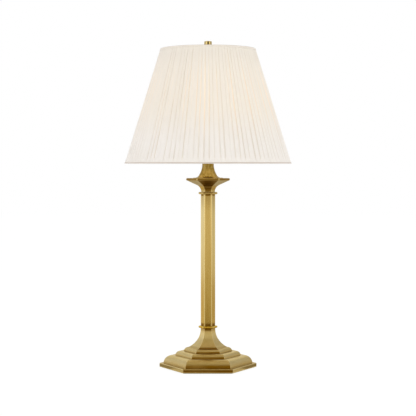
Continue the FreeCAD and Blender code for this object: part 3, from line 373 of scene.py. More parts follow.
def outline_wire(outline, closed=False, ease=0.35):
    """A bmesh with the outline as a line in the plane of X and Z, its sharp corners eased."""
    mesh = bmesh.new()
    points = outline_points(outline)
    corners = [mesh.verts.new((p.x * MM, 0.0, p.y * MM)) for p in points]
    for a, b in zip(corners, corners[1:] + (corners[:1] if closed else [])):
        mesh.edges.new((a, b))
    sharp = []
    for vert in corners:
        if len(vert.link_edges) == 2 and ease:
            ways = [edge.other_vert(vert).co - vert.co for edge in vert.link_edges]
            room = min(way.length for way in ways)
            if ways[0].angle(ways[1]) < SHARP_BELOW and room > ease * 2.2 * MM:
                sharp.append(vert)
    if sharp:
        bmesh.ops.bevel(mesh, geom=sharp, offset=ease * MM, offset_type="OFFSET", segments=3, profile=0.5,
                        affect="VERTICES", material=-1)
    return mesh


test_wire = outline_wire([(0, 0), (10, 0), (10, 5), (5, 10, 5), (0, 10)])
print("a test outline has", len(test_wire.verts), "points")
test_wire.free()

# %% Spin an outline into a piece
HEXAGON = 6
SAME_SPOT = 0.000002


def show(mesh, name, finish, body, replaced, sharp_from=32.0, even_shading=True):
    """Turns a bmesh into a finished piece that rides on its body."""
    mesh.normal_update()
    for face in mesh.faces:
        face.smooth = True
    for edge in mesh.edges:
        edge.smooth = edge.calc_face_angle(0.0) < math.radians(sharp_from)
    data = bpy.data.meshes.new(name)
    mesh.to_mesh(data)
    mesh.free()
    piece = bpy.data.objects.new(name, data)
    bpy.context.scene.collection.objects.link(piece)
    data.materials.append(finish.material)
    if even_shading:
        level = piece.modifiers.new("even_shading", "WEIGHTED_NORMAL")
        level.keep_sharp = True
    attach(piece, body)
    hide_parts(*replaced)
    print(name, len(data.polygons), "faces")
    return piece


def spun(outline, steps, base, closed=False, ease=0.35):
    """The outline carried round the Z axis in a number of steps, its foot at height base."""
    mesh = outline_wire(outline, closed, ease)
    if steps == HEXAGON:
        bmesh.ops.scale(mesh, vec=(1 / math.cos(math.pi / 6), 1.0, 1.0), verts=mesh.verts)
    bmesh.ops.translate(mesh, vec=(0.0, 0.0, base), verts=mesh.verts)
    bmesh.ops.spin(mesh, geom=mesh.verts[:] + mesh.edges[:], cent=(0, 0, 0), axis=(0, 0, 1),
                   angle=FULL_TURN, steps=steps, use_merge=True)
    bmesh.ops.remove_doubles(mesh, verts=mesh.verts, dist=SAME_SPOT)
    bmesh.ops.recalc_face_normals(mesh, faces=mesh.faces)
    return mesh


def six_sided(outline, base, mitre=0.45, segments=2, ease=0.35):
    """A six-sided moulding with a face to the front and softened mitres."""
    mesh = spun(outline, HEXAGON, base, ease=ease)
    mitres = []
    for edge in mesh.edges:
        a, b = (vert.co.xy for vert in edge.verts)
        if min(a.length, b.length) > MM and abs(a.angle(b)) < 0.01:
            if edge.calc_face_angle(0.0) > math.radians(20):
                mitres.append(edge)
    bmesh.ops.bevel(mesh, geom=mitres, offset=mitre * MM, offset_type="OFFSET", segments=segments,
                    profile=0.5, affect="EDGES", material=-1, clamp_overlap=False)
    return mesh


def base_of(node):
    """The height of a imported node's lowest point."""
    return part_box(node)[0].z


print("the column stands", round(base_of("column") / MM, 1), "mm up")

# %% [markdown]
# ## Foot
# The foot is one casting: a flat plinth and two quarter-round steps. Its outline repeats the imported foot's
# sizes in millimetres, each point as (reach, height) with the radius of the arc that ends there.
# The holes for the cord's inlet are cut in the rear face with a Boolean, because a round hole through a
# straight moulding isn't part of any outline.

# %% Make the foot
foot_base = base_of("foot")
FELT_THICK = 1.5
PLINTH_TOP = 9.0
LOWER_TOP = 27.3
UPPER_TOP = 36.9
foot_outline = [(0, 0), (97, 0), (97, 7.5), (95.5, PLINTH_TOP, 1.5), (88.9, PLINTH_TOP),
                (70.6, LOWER_TOP, 18.3), (65.1, LOWER_TOP), (55.5, UPPER_TOP, 9.6), (0, UPPER_TOP)]
foot_corners = [(88.9, PLINTH_TOP + FELT_THICK + 0.5, 12.0), (65.1, LOWER_TOP + FELT_THICK + 0.5, 6.0),
                (48.06, UPPER_TOP + FELT_THICK + 0.6, 4.5), (97.5, 6.0, 5.0)]
foot_finish = moulded_brass("brass_foot", foot_corners, arrises=[(97, 9.6, 1.6)])
foot_mesh = six_sided(foot_outline, foot_base)


def bored(mesh, bores):
    """Cuts round holes, (radius, from y, to y, height) in metres, into a mesh from the rear."""
    hold = bpy.data.meshes.new("to_bore")
    mesh.to_mesh(hold)
    mesh.free()
    solid = bpy.data.objects.new("to_bore", hold)
    bpy.context.scene.collection.objects.link(solid)
    cutters = []
    for radius, near, far, height in bores:
        tool = bmesh.new()
        way = Matrix.Translation((0, (near + far) / 2, height)) @ Matrix.Rotation(math.pi / 2, 4, "X")
        bmesh.ops.create_cone(tool, cap_ends=True, segments=48, radius1=radius, radius2=radius,
                              depth=far - near, matrix=way)
        data = bpy.data.meshes.new("bore")
        tool.to_mesh(data)
        tool.free()
        cutter = bpy.data.objects.new("bore", data)
        bpy.context.scene.collection.objects.link(cutter)
        cutters.append(cutter)
        step = solid.modifiers.new("bore", "BOOLEAN")
        step.operation = "DIFFERENCE"
        step.solver = "EXACT"
        step.object = cutter
    bpy.context.view_layer.update()
    result = bmesh.new()
    result.from_mesh(bpy.data.meshes.new_from_object(
        solid.evaluated_get(bpy.context.evaluated_depsgraph_get())))
    for item in [solid] + cutters:
        bpy.data.objects.remove(item)
    return result


inlet_low, inlet_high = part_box("cord_bushing")
inlet_z = (inlet_low.z + inlet_high.z) / 2
foot_mesh = bored(foot_mesh, [(6.0 * MM, 84.1 * MM, 103 * MM, inlet_z),
                              (4.7 * MM, 70 * MM, 90 * MM, inlet_z)])
show(foot_mesh, "foot_casting", foot_finish, "body", ["foot"])

# %% [markdown]
# ## Pedestal and capital
# The pedestal sweeps from a small quarter-round into a long hollow curve. The capital does the same
# upside down and ends in a wide thin rim with a shallow dish, in which the neck stands.

# %% Make the pedestal
pedestal_base = base_of("pedestal")
pedestal_outline = [(0, 0), (48.06, 0), (39.26, 8.8, 8.8), (38.65, 8.8), (14.55, 50.6, -48.3),
                    (14.55, 53.1), (0, 53.1)]
pedestal_mm = pedestal_base / MM
pedestal_corners = [(48.06, pedestal_mm + 0.5, 5.5), (38.3, pedestal_mm + 9.6, 7.0),
                    (14.55, pedestal_mm + 54.5, 10.0)]
pedestal_finish = moulded_brass("brass_pedestal", pedestal_corners, rough=0.3)
show(six_sided(pedestal_outline, pedestal_base), "pedestal_casting", pedestal_finish, "body",
     ["pedestal"])

# %% Make the capital
capital_base = base_of("capital")
capital_mm = capital_base / MM
capital_outline = [(0, 0), (13.95, 0), (13.95, 1.2), (22.969, 16.21, -17), (41.65, 26.143),
                   (43.65, 28.143, 2), (43.65, 29.743), (41.65, 31.743, 2), (39.15, 31.743),
                   (39.15, 30.243), (0, 30.243)]
capital_corners = [(14.2, capital_mm + 6.0, 7.5), (22.0, capital_mm + 15.0, 7.5),
                   (31.0, capital_mm + 20.5, 8.0), (38.0, capital_mm + 24.2, 6.0)]
rim_arrises = [(43.2, capital_mm + 31.9, 1.2), (42.6, capital_mm + 26.4, 1.2)]
rim_corners = [(39.15, capital_mm + 30.24, 2.0), (34.0, capital_mm + 30.24, 2.5),
               (43.9, capital_mm + 28.7, 4.2)]
capital_finish = moulded_brass("brass_capital", capital_corners, arrises=rim_arrises,
                               all_round=rim_corners, mitre=2.2, on_sides=0.3)
capital_mesh = six_sided(capital_outline, capital_base, mitre=0.9, ease=0.25)
show(capital_mesh, "capital_casting", capital_finish, "body", ["capital"])

# %% [markdown]
# ## Column and collars
# The column is a six-sided drawn tube with corners rounded to two millimetres, so its mitre bevel is wide
# and has more segments. Each collar is a thin plate with a full round edge. The lower collar is given a
# deeper, more saturated gold than the upper one.

# %% Make the column and its two collars
column_low, column_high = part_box("column")
COLUMN_FLAT = 14.65
column_tall = (column_high.z - column_low.z) / MM
column_outline = [(0, 0), (COLUMN_FLAT, 0), (COLUMN_FLAT, column_tall), (0, column_tall)]
column_finish = drawn_brass("brass_column", [(COLUMN_FLAT, column_low.z / MM, 9.0),
                                             (COLUMN_FLAT, column_high.z / MM, 6.0)])
column_mesh = six_sided(column_outline, column_low.z, mitre=1.155, segments=5, ease=0.15)
show(column_mesh, "column_tube", column_finish, "body", ["column"])

collar_outline = [(0, 0), (16.4, 0), (19.05, 2.65, 2.65), (16.4, 5.3, 2.65), (0, 5.3)]
for node, base, gold, deep in (("lower_collar", base_of("lower_collar"), COLLAR_GOLD, COLLAR_DEEP),
                               ("upper_collar", column_high.z, BRASS_PLAIN, BRASS_DEEP)):
    low = base / MM
    finish = moulded_brass("brass_" + node, [(15.2, low + 5.3, 2.6), (15.2, low, 2.6)], mitre=1.4,
                           gold=gold, deep=deep)
    show(six_sided(collar_outline, base, mitre=0.35, ease=0), node + "_plate", finish, "body", [node])

# %% [markdown]
# ## Neck and finial
# Both are turned, so their outlines are spun in many small steps. The neck gets long brown and gold streaks,
# its broad marks drawn out along its height: the streaks are painted reflections.

# %% Turn the neck
neck_base = base_of("neck")
neck_mm = neck_base / MM
neck_outline = [(0, 0), (34, 0), (34, 2.4), (30.5, 2.4), (21.012, 7.6, -11.6), (13.1, 34, -48), (13.1, 38),
                (0, 38)]
neck_finish = turned_brass("brass_neck", [(30.5, neck_mm + 2.4, 3.5), (34.6, neck_mm, 1.5)], (6.5, 0.6),
                           gold=NECK_REFLECTED_GOLD, deep=NECK_REFLECTED_DARK)
show(spun(neck_outline, 96, neck_base), "neck_turning", neck_finish, "body", ["neck"])

# %% Turn the finial
finial_base = base_of("finial")
finial_mm = finial_base / MM
finial_outline = [(0, 0), (6, 0), (6, 2), (4.6, 2), (4.6, 8), (8.75, 13), (8.75, 24.4), (7.15, 26, 1.6),
                  (0, 26)]
finial_finish = turned_brass("brass_finial", [(4.6, finial_mm + 2, 1.6), (4.6, finial_mm + 8, 2.0)])
show(spun(finial_outline, 64, finial_base), "finial_turning", finial_finish, "finial",
     ["finial"])

# %% [markdown]
# ## Pleated shade
# A long strip of cloth is gathered into 96 soft pleats, stretched over the two rings and rolled over at
# both ends. Each pleat is a rounded roll between two tight creases. No two pleats made by hand are alike,
# so widths and depths come from seeded chance. A ring of vertices is extruded upwards level by level and
# every vertex is then moved to its place in its pleat.

# %% Lay out the pleats
shade_low, shade_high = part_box("bottom_trim")[0].z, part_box("top_trim")[1].z
CREST_LOW, CREST_HIGH = 191.3 * MM, 108.85 * MM
PLEATS = 96
ACROSS = (0.0, 0.04, 0.10, 0.21, 0.38, 0.60, 0.78, 0.90, 0.96)
LEVELS = 30
LEVEL_SHIFT = 0.035
DEEP_BELOW = 2.3
DEEP_LOST_ABOVE = 1.35
DEEPEST = 2.35 * MM
SWELLING = 0.4
WANDERING = 0.006
HEM_LAP = 0.6 * MM
chance = random.Random(11)
widths = [chance.uniform(0.78, 1.22) for _ in range(PLEATS)]
starts = [sum(widths[:i]) / sum(widths) * FULL_TURN for i in range(PLEATS + 1)]
depths = [chance.uniform(0.4, 1.0) for _ in range(PLEATS)]
glows = [chance.random() ** 1.5 for _ in range(PLEATS)]


def fall(share):
    """How deep a pleat lies at a share of its width: 1 in its two creases and 0 on its roll."""
    return (1 - math.sin(math.pi * share ** 0.85)) ** 1.5


def ease_in(value, low, high):
    """0 up to low, 1 from high on, and an easy curve between."""
    step = min(max((value - low) / (high - low), 0.0), 1.0)
    return step * step * (3 - 2 * step)


def bearing(vert):
    """The angle of a vertex round the axis, from 0 to a full turn."""
    return math.atan2(vert.co.y, vert.co.x) % FULL_TURN


print("widest pleat", round(max(widths) / sum(widths) * 360, 2), "degrees")

# %% Fold the cloth
cloth = bmesh.new()
fold_layer = cloth.verts.layers.float.new("fold")
glow_layer = cloth.verts.layers.float.new("glow")
segments = PLEATS * len(ACROSS)
bmesh.ops.create_circle(cloth, cap_ends=False, segments=segments, radius=1.0)
ring_edges = cloth.edges[:]
rings = [sorted(cloth.verts[:], key=bearing)]
for level in range(1, LEVELS):
    grown = bmesh.ops.extrude_edge_only(cloth, edges=ring_edges)["geom"]
    ring_edges = [item for item in grown if isinstance(item, bmesh.types.BMEdge)
                  and all(v in grown for v in item.verts)]
    new_verts = [item for item in grown if isinstance(item, bmesh.types.BMVert)]
    bmesh.ops.translate(cloth, vec=(0, 0, 1.0), verts=new_verts)
    rings.append(sorted(new_verts, key=bearing))

cloth_low = shade_low + HEM_LAP
cloth_high = shade_high - HEM_LAP
slant = math.hypot(CREST_LOW - CREST_HIGH, shade_high - shade_low)
for level, ring in enumerate(rings):
    share_up = level / (LEVELS - 1)
    share_up -= LEVEL_SHIFT * math.sin(FULL_TURN * share_up)
    z = cloth_low + (cloth_high - cloth_low) * share_up
    crest = CREST_LOW + (CREST_HIGH - CREST_LOW) * (z - shade_low) / (shade_high - shade_low)
    hold = ease_in(z, shade_low + 3 * MM, shade_low + 13 * MM)
    hold *= ease_in(-z, -shade_high + 3 * MM, -shade_high + 10 * MM)
    free = 0.3 + 0.7 * hold
    deep = (DEEP_BELOW - DEEP_LOST_ABOVE * share_up) * MM * free
    for seat, vert in enumerate(ring):
        pleat, step = divmod(seat, len(ACROSS))
        share = ACROSS[step]
        wander = noise.noise(Vector((pleat * 1.7, share_up * 2.6, 4.0)))
        swell = noise.noise(Vector((pleat * 2.3, share_up * 3.1, 9.0)))
        near = depths[pleat] if share < 0.5 else depths[(pleat + 1) % PLEATS]
        fold = fall(share) * near * (1 + SWELLING * swell)
        turn = starts[pleat] + (starts[pleat + 1] - starts[pleat]) * share
        turn += wander * WANDERING * free
        reach = crest - min(deep * fold, DEEPEST)
        vert.co = (reach * math.cos(turn), reach * math.sin(turn), z)
        vert[fold_layer] = min(fold, 1.0) * hold
        vert[glow_layer] = glows[pleat] if share < 0.5 else glows[(pleat + 1) % PLEATS]
bmesh.ops.recalc_face_normals(cloth, faces=cloth.faces)
if cloth.faces[0].normal.dot(cloth.faces[0].calc_center_median().xy.to_3d()) < 0:
    bmesh.ops.reverse_faces(cloth, faces=cloth.faces)
MIDDLE_REACH = 0.15
unrolled = cloth.loops.layers.uv.new("unrolled")
for face in cloth.faces:
    turns = [bearing(loop.vert) for loop in face.loops]
    over = max(turns) - min(turns) > math.pi
    for loop, turn in zip(face.loops, turns):
        turn += FULL_TURN if over and turn < math.pi else 0.0
        loop[unrolled].uv = (turn * MIDDLE_REACH,
                             (loop.vert.co.z - shade_low) * slant / (shade_high - shade_low))
print("cloth", len(cloth.faces), "faces")

# %% [markdown]
# ## Cloth finish
# The cloth is a pale silk. Its threads follow the unrolled strip, so the weave reads the strip's own map.
# Light from the bulb comes through most in the creases beside it, where the cloth lies on its liner, so a
# soft warm glow is written by height, by crease and by pleat, and it looks the same from every side. The
# base colour is painted too: warmer near the bulb as painted light, darker in the creases and towards the
# top as painted shade, and on the hems with painted shadow lines along the rolled edges. A faint painted
# glow covers all the cloth.

# %% Write the silk
SILK_PALE = colour(0.925, 0.885, 0.84)
SILK_PLAIN = colour(0.885, 0.835, 0.775)
SILK_BULB_WARMTH = colour(0.88, 0.815, 0.71)
SILK_PAINTED_SHADE = colour(0.70, 0.60, 0.49)
SILK_HEM_SHADOW = colour(0.63, 0.54, 0.46)
HEM_SHADOW_LINES = (shade_low + 1.9 * MM, shade_high - 0.3 * MM)
# A faint painted glow over all the cloth, then the painted glow of the bulb.
CLOTH_GLOW = colour(0.036, 0.031, 0.024)
BULB_GLOW = colour(0.26, 0.145, 0.035)


def silk(name, pleated):
    finish = Finish(name, Roughness=0.62, Sheen_Weight=0.2, Sheen_Roughness=0.4, Specular_IOR_Level=0.3,
                    Emission_Strength=1.0)
    where = finish.place()
    x, y, z = finish.split(where)
    if pleated:
        strip = finish.node("ShaderNodeUVMap", {"uv_map": "unrolled"})
        u, v, _ = finish.split(strip)
    else:
        u, v = (x + y), z
    slub = finish.noise(finish.join(u * 1900.0, v * 90.0, 0.0), detail=2.0)
    weft = finish.noise(finish.join(u * 140.0, v * 2400.0, 3.0), detail=1.0)
    clouds = finish.noise(where, scale=14.0)
    thread = slub * 0.6 + weft * 0.4
    base = finish.blend(SILK_PLAIN, SILK_PALE, (thread * 0.5 + clouds * 0.5).rise(0.3, 0.7))
    # Painted light: the cloth is warmer where the bulb is.
    base = finish.blend(base, SILK_BULB_WARMTH, z.rise(0.50, 0.61) * (0.45 + clouds * 0.5))
    # Painted shade: darker towards the top.
    base = finish.blend(base, SILK_PAINTED_SHADE, z.rise(0.685, 0.715) * 0.08)
    if pleated:
        fold = finish.node("ShaderNodeAttribute", {"attribute_name": "fold"}, output="Fac")
        warm = finish.node("ShaderNodeAttribute", {"attribute_name": "glow"}, output="Fac")
        # Painted shade in the creases.
        base = finish.blend(base, SILK_PAINTED_SHADE, fold.rise(0.15, 0.9) * 0.5)
        near_bulb = z.rise(0.50, 0.62) * (1 - z.rise(0.64, 0.735))
        lit = near_bulb * (0.12 + fold.rise(0.05, 0.8) * warm * 0.88)
        finish.give(Emission_Color=finish.blend(CLOTH_GLOW, BULB_GLOW, lit))
    else:
        low_shadow_line, high_shadow_line = HEM_SHADOW_LINES
        # Painted shadow lines under the rolled hems, where the painted glow is taken out too.
        hem_shadow = 1 - abs(z - low_shadow_line).rise(0.5 * MM, 1.5 * MM)
        hem_shadow = hem_shadow.largest(z.rise(high_shadow_line - 1.2 * MM, high_shadow_line) * 0.8)
        base = finish.blend(base, SILK_HEM_SHADOW, hem_shadow)
        finish.give(Emission_Color=finish.blend(CLOTH_GLOW, colour(0.0, 0.0, 0.0), hem_shadow))
    finish.give(Base_Color=base)
    finish.relief(thread, 0.25, 0.00012)
    return finish


pleated_silk = silk("silk_pleats", True)
cloth_piece = show(cloth, "pleated_cloth", pleated_silk, "shade", ["shade_pleats"],
                   sharp_from=70.0, even_shading=False)
wall = cloth_piece.modifiers.new("cloth_thickness", "SOLIDIFY")
wall.thickness = 0.25 * MM
wall.offset = -1.0

# %% Roll the hems
HEM_INSIDE = 2.75
HEM_OUTSIDE = 0.42
hem_silk = silk("silk_hems", False)


def hem(name, node):
    """A rolled strip that covers one end of the pleats, bowed outward a little and puckered."""
    low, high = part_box(node)
    tall = (high.z - low.z) / MM
    lean = (CREST_HIGH - CREST_LOW) / (shade_high - shade_low)
    crest = (CREST_LOW + lean * (low.z - shade_low)) / MM
    inner = crest - HEM_INSIDE
    outer = crest + HEM_OUTSIDE
    slide = lean * tall
    ring = [(inner, 0.3), (outer - 0.7, 0.0), (outer + slide * 0.12, 0.75, 0.8),
            (outer + slide * 0.85, tall - 0.8, 6.0), (outer + slide - 0.9, tall, 0.9),
            (inner + slide, tall - 0.3)]
    mesh = spun(ring, 288, low.z, closed=True, ease=0)
    for vert in mesh.verts:
        turn = math.atan2(vert.co.y, vert.co.x)
        pucker = noise.noise(Vector((math.cos(turn) * 60, math.sin(turn) * 60, vert.co.z * 300)))
        vert.co.xy *= 1 + pucker * 0.0004
    return show(mesh, name, hem_silk, "shade", [node], even_shading=False)


lower_hem = hem("lower_hem", "bottom_trim")
upper_hem = hem("upper_hem", "top_trim")

# %% [markdown]
# ## Felt pad
# A thin felt is glued under the foot. It is a six-sided slab with a slightly ragged, fuzzy edge.

# %% Cut the felt
FELT_FLAT = 93
felt_outline = [(0, 0), (FELT_FLAT, 0), (FELT_FLAT, FELT_THICK), (0, FELT_THICK)]
felt_mesh = six_sided(felt_outline, base_of("felt_pad"), mitre=1.2, ease=0.3)
long_edges = [edge for edge in felt_mesh.edges if edge.calc_length() > 40 * MM]
bmesh.ops.subdivide_edges(felt_mesh, edges=long_edges, cuts=18, use_grid_fill=True)
for vert in felt_mesh.verts:
    if vert.co.xy.length > 80 * MM:
        vert.co.xy *= 1 + noise.noise(vert.co * 420) * 0.0022
felt_finish = Finish("green_felt", Roughness=0.95, Sheen_Weight=0.5, Sheen_Roughness=0.6)
felt_place = felt_finish.place()
fuzz = felt_finish.noise(felt_place, scale=900.0, detail=4.0, roughness=0.7)
matting = felt_finish.noise(felt_place, scale=70.0, detail=2.0)
felt_finish.give(Base_Color=felt_finish.blend(colour(0.012, 0.03, 0.016), colour(0.05, 0.10, 0.06),
                                              fuzz * 0.6 + matting * 0.4))
felt_finish.relief(fuzz, 0.8, 0.0004)
felt = show(felt_mesh, "felt_sole", felt_finish, "body", ["felt_pad"], even_shading=False)

# %% [markdown]
# ## Fittings under the shade
# The harp, its saddle, the socket and the switch key keep their modelled shapes, which are right as
# they are. They get plated, zinc, moulded and fibre finishes with the marks that such parts have.

# %% Metal finishes of the fittings
def plated(name, bright, dark, rough, grain_scale, metal=1.0):
    """A plated or plain metal with fine grain, handling marks and a slightly uneven shine."""
    finish = Finish(name, Metallic=metal)
    where = finish.place()
    x, y, z = finish.split(where)
    grain = finish.noise(finish.join((x + y) * grain_scale, (x - y) * grain_scale, z * grain_scale * 0.25),
                         detail=3.0)
    marks = finish.noise(where, scale=95.0, detail=4.0, roughness=0.65)
    finish.give(Base_Color=finish.blend(dark, bright, (grain * 0.4 + marks * 0.6).rise(0.3, 0.62)),
                Roughness=rough + marks * 0.14)
    finish.relief(grain * 0.6 + marks * 0.4, 0.2, 0.00008)
    return finish


bright_brass = plated("plated_brass", colour(0.72, 0.55, 0.27), colour(0.52, 0.36, 0.14), 0.16, 1400.0)
contact_brass = plated("contact_brass", colour(0.74, 0.56, 0.30), colour(0.58, 0.40, 0.18), 0.24, 900.0)
zinc = plated("zinc_steel", colour(0.66, 0.65, 0.62), colour(0.47, 0.46, 0.44), 0.26, 1100.0)
cap_metal = plated("bulb_cap_metal", colour(0.80, 0.80, 0.79), colour(0.62, 0.62, 0.61), 0.22, 1200.0)
cast_iron = plated("cast_iron", colour(0.12, 0.115, 0.11), colour(0.055, 0.05, 0.048), 0.6, 500.0, 0.6)
print("metals ready")


# %% Moulded, fibre and glass finishes
def moulded(name, pale, deep, rough, scale, bump=0.0001):
    """A moulded or pressed piece with a faint orange-peel skin and dust in its tone."""
    finish = Finish(name, Roughness=rough)
    where = finish.place()
    peel = finish.noise(where, scale=scale, detail=3.0)
    dust = finish.noise(where, scale=30.0, detail=2.0)
    finish.give(Base_Color=finish.blend(deep, pale, (peel * 0.35 + dust * 0.65).rise(0.3, 0.7)),
                Roughness=rough - 0.08 + peel * 0.16)
    finish.relief(peel, 0.3, bump)
    return finish


black_moulding = moulded("black_moulding", colour(0.030, 0.028, 0.026), colour(0.012, 0.011, 0.010), 0.38,
                         700.0)
pressed_fibre = moulded("pressed_fibre", colour(0.30, 0.20, 0.12), colour(0.20, 0.12, 0.07), 0.7, 1200.0)

styrene = Finish("white_styrene", Roughness=0.5, Emission_Strength=0.25)
styrene_place = styrene.place()
_, _, styrene_z = styrene.split(styrene_place)
haze = styrene.noise(styrene_place, scale=22.0, detail=2.0)
# Painted light: the liner glows warm beside the bulb.
painted_bulb_light = styrene_z.rise(0.48, 0.6) * (1 - styrene_z.rise(0.63, 0.73))
styrene.give(Base_Color=styrene.blend(colour(0.80, 0.775, 0.72), colour(0.88, 0.86, 0.81),
                                      haze.rise(0.3, 0.7)),
             Emission_Color=styrene.blend(colour(0, 0, 0), colour(1.0, 0.74, 0.45), painted_bulb_light))
styrene.relief(styrene.noise(styrene_place, scale=1500.0), 0.15, 0.00006)

frosted = Finish("frosted_glass", Roughness=0.3, Coat_Weight=0.5, Coat_Roughness=0.06, Emission_Strength=0.9)
frosted_place = frosted.place()
_, _, frosted_z = frosted.split(frosted_place)
frost = frosted.noise(frosted_place, scale=1600.0, detail=2.0)
frosted.give(Base_Color=frosted.blend(colour(0.86, 0.85, 0.82), colour(0.93, 0.925, 0.90), frost),
             Emission_Color=frosted.blend(colour(0.30, 0.19, 0.08), colour(1.0, 0.82, 0.56),
                                          frosted_z.rise(0.545, 0.585)))
frosted.relief(frost, 0.1, 0.00005)


def clad(finish, *names):
    """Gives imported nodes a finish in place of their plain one."""
    for name in names:
        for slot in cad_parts[name].material_slots:
            slot.material = finish.material
    print(finish.material.name, "on", len(names), "nodes")


clad(bright_brass, "harp_saddle", "socket_cap", "socket_shell", "harp_ferrule_left", "harp_ferrule_right",
     "harp_stud", "harp_wire")
clad(contact_brass, "screw_shell", "centre_contact", "bulb_contact")
clad(zinc, "rod_washer", "rod_lock_washer", "rod_nut", "lamp_rod", "socket_set_screw", "terminal_screws",
     "spider", "shade_top_ring", "shade_bottom_ring", "switch_shaft", "bulb_filament")
clad(cast_iron, "foot_weight")
clad(cap_metal, "bulb_cap")
clad(black_moulding, "cord_bushing", "socket_core", "bulb_insulator", "switch_key")
clad(pressed_fibre, "socket_liner")
clad(styrene, "shade_liner")
clad(frosted, "bulb_glass", "bulb_stem")

# %% [markdown]
# ## Studio
# The lamp stands on a white floor in a white room. Both show as pure white in the picture, in metal and
# in glass, while the room's own light is softer and the floor keeps a faint shadow. Big soft windows at
# both sides light the lamp's flanks, and a broad one above lights the tops of the steps. Metal has no
# colour of its own without something to reflect, so cards stand and lie all round, where only
# reflections find them: two bright ones between the front and the sides, and golden and darker ones in
# front, behind, above and on the floor, which give the faces their deeper gold.

# %% Floor
def stage_sheet(name, corners, finish):
    """A flat or curved sheet of the studio, through two rows of corners."""
    mesh = bmesh.new()
    rows = [[mesh.verts.new(corner) for corner in row] for row in corners]
    for near, far in zip(rows, rows[1:]):
        mesh.faces.new((near[0], near[1], far[1], far[0]))
    data = bpy.data.meshes.new(name)
    mesh.to_mesh(data)
    mesh.free()
    sheet = bpy.data.objects.new(name, data)
    bpy.context.scene.collection.objects.link(sheet)
    data.materials.append(finish.material)
    print(name, "made")
    return sheet


PAPER_WHITE = 1.06
EVEN_SHARE = 0.88
FLOOR_HALF = 9
paper = Finish("white_paper", Base_Color=colour(0.82, 0.82, 0.82), Roughness=0.9, Specular_IOR_Level=0.1)
bright = paper.node("ShaderNodeEmission", {}, {"Strength": PAPER_WHITE})
paper.show(paper.node("ShaderNodeMixShader", {}, {
    0: paper.rays("Is Camera Ray", "Is Glossy Ray", "Is Transmission Ray") * EVEN_SHARE,
    1: Flow(paper, paper.shader.outputs[0]), 2: bright}))
stage_sheet("floor", [((-FLOOR_HALF, -FLOOR_HALF, 0), (FLOOR_HALF, -FLOOR_HALF, 0)),
                      ((-FLOOR_HALF, FLOOR_HALF, 0), (FLOOR_HALF, FLOOR_HALF, 0))], paper)

# %% White room
ROOM_LEVEL = 0.70
world = bpy.data.worlds.new("white_room")
bpy.context.scene.world = world
world.use_nodes = True
room = Graph(world.node_tree)
backdrop = room.tree.nodes["Background"]
seen = room.rays("Is Camera Ray", "Is Glossy Ray", "Is Transmission Ray")
room.feed(backdrop.inputs["Color"], colour(1.0, 1.0, 1.0))
room.feed(backdrop.inputs["Strength"], ROOM_LEVEL + seen * (1.0 - ROOM_LEVEL))
print("room level", ROOM_LEVEL)


# %% Windows
def window(name, place, aim, width, height, level):
    """A soft rectangular light whose brightness is level, where 1 is white. Metal sees a card instead."""
    data = bpy.data.lights.new(name, "AREA")
    data.shape = "RECTANGLE"
    data.size = width
    data.size_y = height
    data.energy = level * math.pi * width * height
    lamp = bpy.data.objects.new(name, data)
    lamp.location = place
    lamp.rotation_euler = (Vector(aim) - Vector(place)).to_track_quat("-Z", "Y").to_euler()
    lamp.visible_glossy = False
    bpy.context.scene.collection.objects.link(lamp)
    print(name, "at level", level)


COLUMN_MIDDLE = (0, 0, 0.45)
window("left_window", (-1.9, -1.7, 1.0), COLUMN_MIDDLE, width=0.9, height=1.8, level=1.95)
window("right_window", (2.1, -1.3, 1.0), COLUMN_MIDDLE, width=0.8, height=1.8, level=2.35)
window("top_window", (0.0, -0.1, 2.5), (0, 0, 0.3), width=1.8, height=1.4, level=0.9)


# %% Cards
ALONG_X, ALONG_Y, ALONG_Z = range(3)


def card(name, corners, axis, *tones):
    """A sheet that only reflections see. Its tones are (place along the axis, colour), lowest first."""
    finish = Finish(name)
    along = finish.split(finish.place())[axis]
    tone = tones[0][1]
    for (low, _), (high, shade) in zip(tones, tones[1:]):
        tone = finish.blend(tone, shade, along.rise(low, high))
    finish.show(finish.node("ShaderNodeEmission", {}, {"Color": tone, "Strength": 1.0}))
    sheet = stage_sheet(name, corners, finish)
    sheet.visible_camera = False
    sheet.visible_diffuse = False
    sheet.visible_shadow = False
    sheet.visible_transmission = False


def strip(name, first, last, profile, *tones):
    """A curved card between two bearings, in degrees to the right of the front, along (reach, height)."""
    rows = [[(out * math.sin(math.radians(turn)), -out * math.cos(math.radians(turn)), up)
             for turn in (first, last)] for out, up in profile]
    card(name, rows, ALONG_Z, *tones)


WALL_REACH = 3.2
WALL_LIFTS = [math.radians(lift) for lift in range(0, 65, 8)]
WALL = [(WALL_REACH * math.cos(lift), WALL_REACH * math.sin(lift)) for lift in WALL_LIFTS]
FRONT_LOW = colour(0.72, 0.57, 0.22)
FRONT_COLUMN = colour(1.12, 1.02, 0.80)
FRONT_MIDDLE = colour(0.55, 0.48, 0.30)
FRONT_HIGH = colour(0.94, 0.91, 0.83)
FRONT_DUSK = colour(0.36, 0.30, 0.16)
TOP_TONE = colour(0.58, 0.50, 0.30)
strip("front_strip", -28, 40, WALL, (0.0, FRONT_LOW), (0.22, FRONT_COLUMN), (0.40, FRONT_COLUMN),
      (0.55, FRONT_MIDDLE), (0.80, FRONT_MIDDLE), (1.15, FRONT_HIGH), (1.45, FRONT_HIGH),
      (2.05, FRONT_DUSK), (2.7, TOP_TONE))
strip("left_bright_strip", -44, -28, WALL, (0.0, colour(1.8, 1.7, 1.4)), (0.5, colour(2.3, 2.2, 1.95)))
strip("right_bright_strip", 40, 58, WALL, (0.0, colour(1.3, 1.2, 0.95)), (0.5, colour(1.7, 1.6, 1.35)))
strip("left_rear_strip", -150, -62, WALL, (0.0, colour(1.15, 1.15, 1.15)), (0.5, colour(1.2, 1.25, 1.45)),
      (1.0, colour(0.80, 0.82, 0.92)))
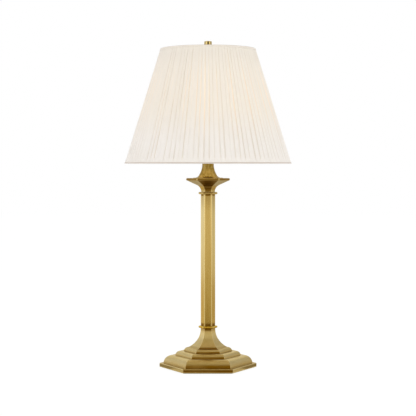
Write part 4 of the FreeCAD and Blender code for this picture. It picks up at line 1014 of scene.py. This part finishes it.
strip("right_rear_strip", 62, 150, WALL, (0.0, colour(0.98, 0.95, 0.85)), (0.5, colour(0.88, 0.88, 0.92)),
      (1.0, colour(0.62, 0.62, 0.66)))
FLOOR_CARD_UP = 0.003
LOW_CARD_UP = 0.002
for name, first, last, near, far, tone in (
        ("left_near_card", -150, -62, 0.099, 0.30, colour(0.42, 0.38, 0.30)),
        ("left_floor_card", -150, -62, 0.30, 3.1, colour(0.84, 0.68, 0.36)),
        ("right_near_card", 62, 150, 0.099, 0.30, colour(0.36, 0.31, 0.23)),
        ("right_floor_card", 62, 150, 0.30, 3.1, colour(0.66, 0.52, 0.26)),
        ("rear_floor_card", 150, 210, 0.125, 3.1, colour(0.70, 0.70, 0.70))):
    strip(name, first, last, [(near, FLOOR_CARD_UP), (far, FLOOR_CARD_UP)], (0.0, tone))
card("finial_card", [((-0.15, -0.35, 0.73), (0.15, -0.35, 0.73)),
                     ((-0.15, -0.35, 0.86), (0.15, -0.35, 0.86))],
     ALONG_Z, (0.73, colour(0.06, 0.04, 0.01)))
TOP_UP = 2.9
card("top_card", [((-3.0, -1.5, TOP_UP), (3.0, -1.5, TOP_UP)), ((-3.0, 2.5, TOP_UP), (3.0, 2.5, TOP_UP))],
     ALONG_X, (-2.4, colour(0.80, 0.76, 0.66)), (-0.6, TOP_TONE), (0.6, TOP_TONE),
     (2.4, colour(0.52, 0.46, 0.36)))
card("low_card", [((-0.5, -WALL_REACH, LOW_CARD_UP), (0.5, -WALL_REACH, LOW_CARD_UP)),
                  ((-0.22, -0.101, LOW_CARD_UP), (0.22, -0.101, LOW_CARD_UP))],
     ALONG_Y, (-WALL_REACH, FRONT_LOW), (-1.0, colour(0.56, 0.43, 0.15)),
     (-0.30, colour(0.17, 0.10, 0.025)), (-0.11, colour(0.34, 0.23, 0.07)))

# %% Show colours as they are
bpy.context.scene.view_settings.view_transform = "Standard"
print("view transform", bpy.context.scene.view_settings.view_transform)

# %% [markdown]
# ## End
# The dressed lamp has to stay inside the imported one.

# %% End of the scene
print("scene ready")
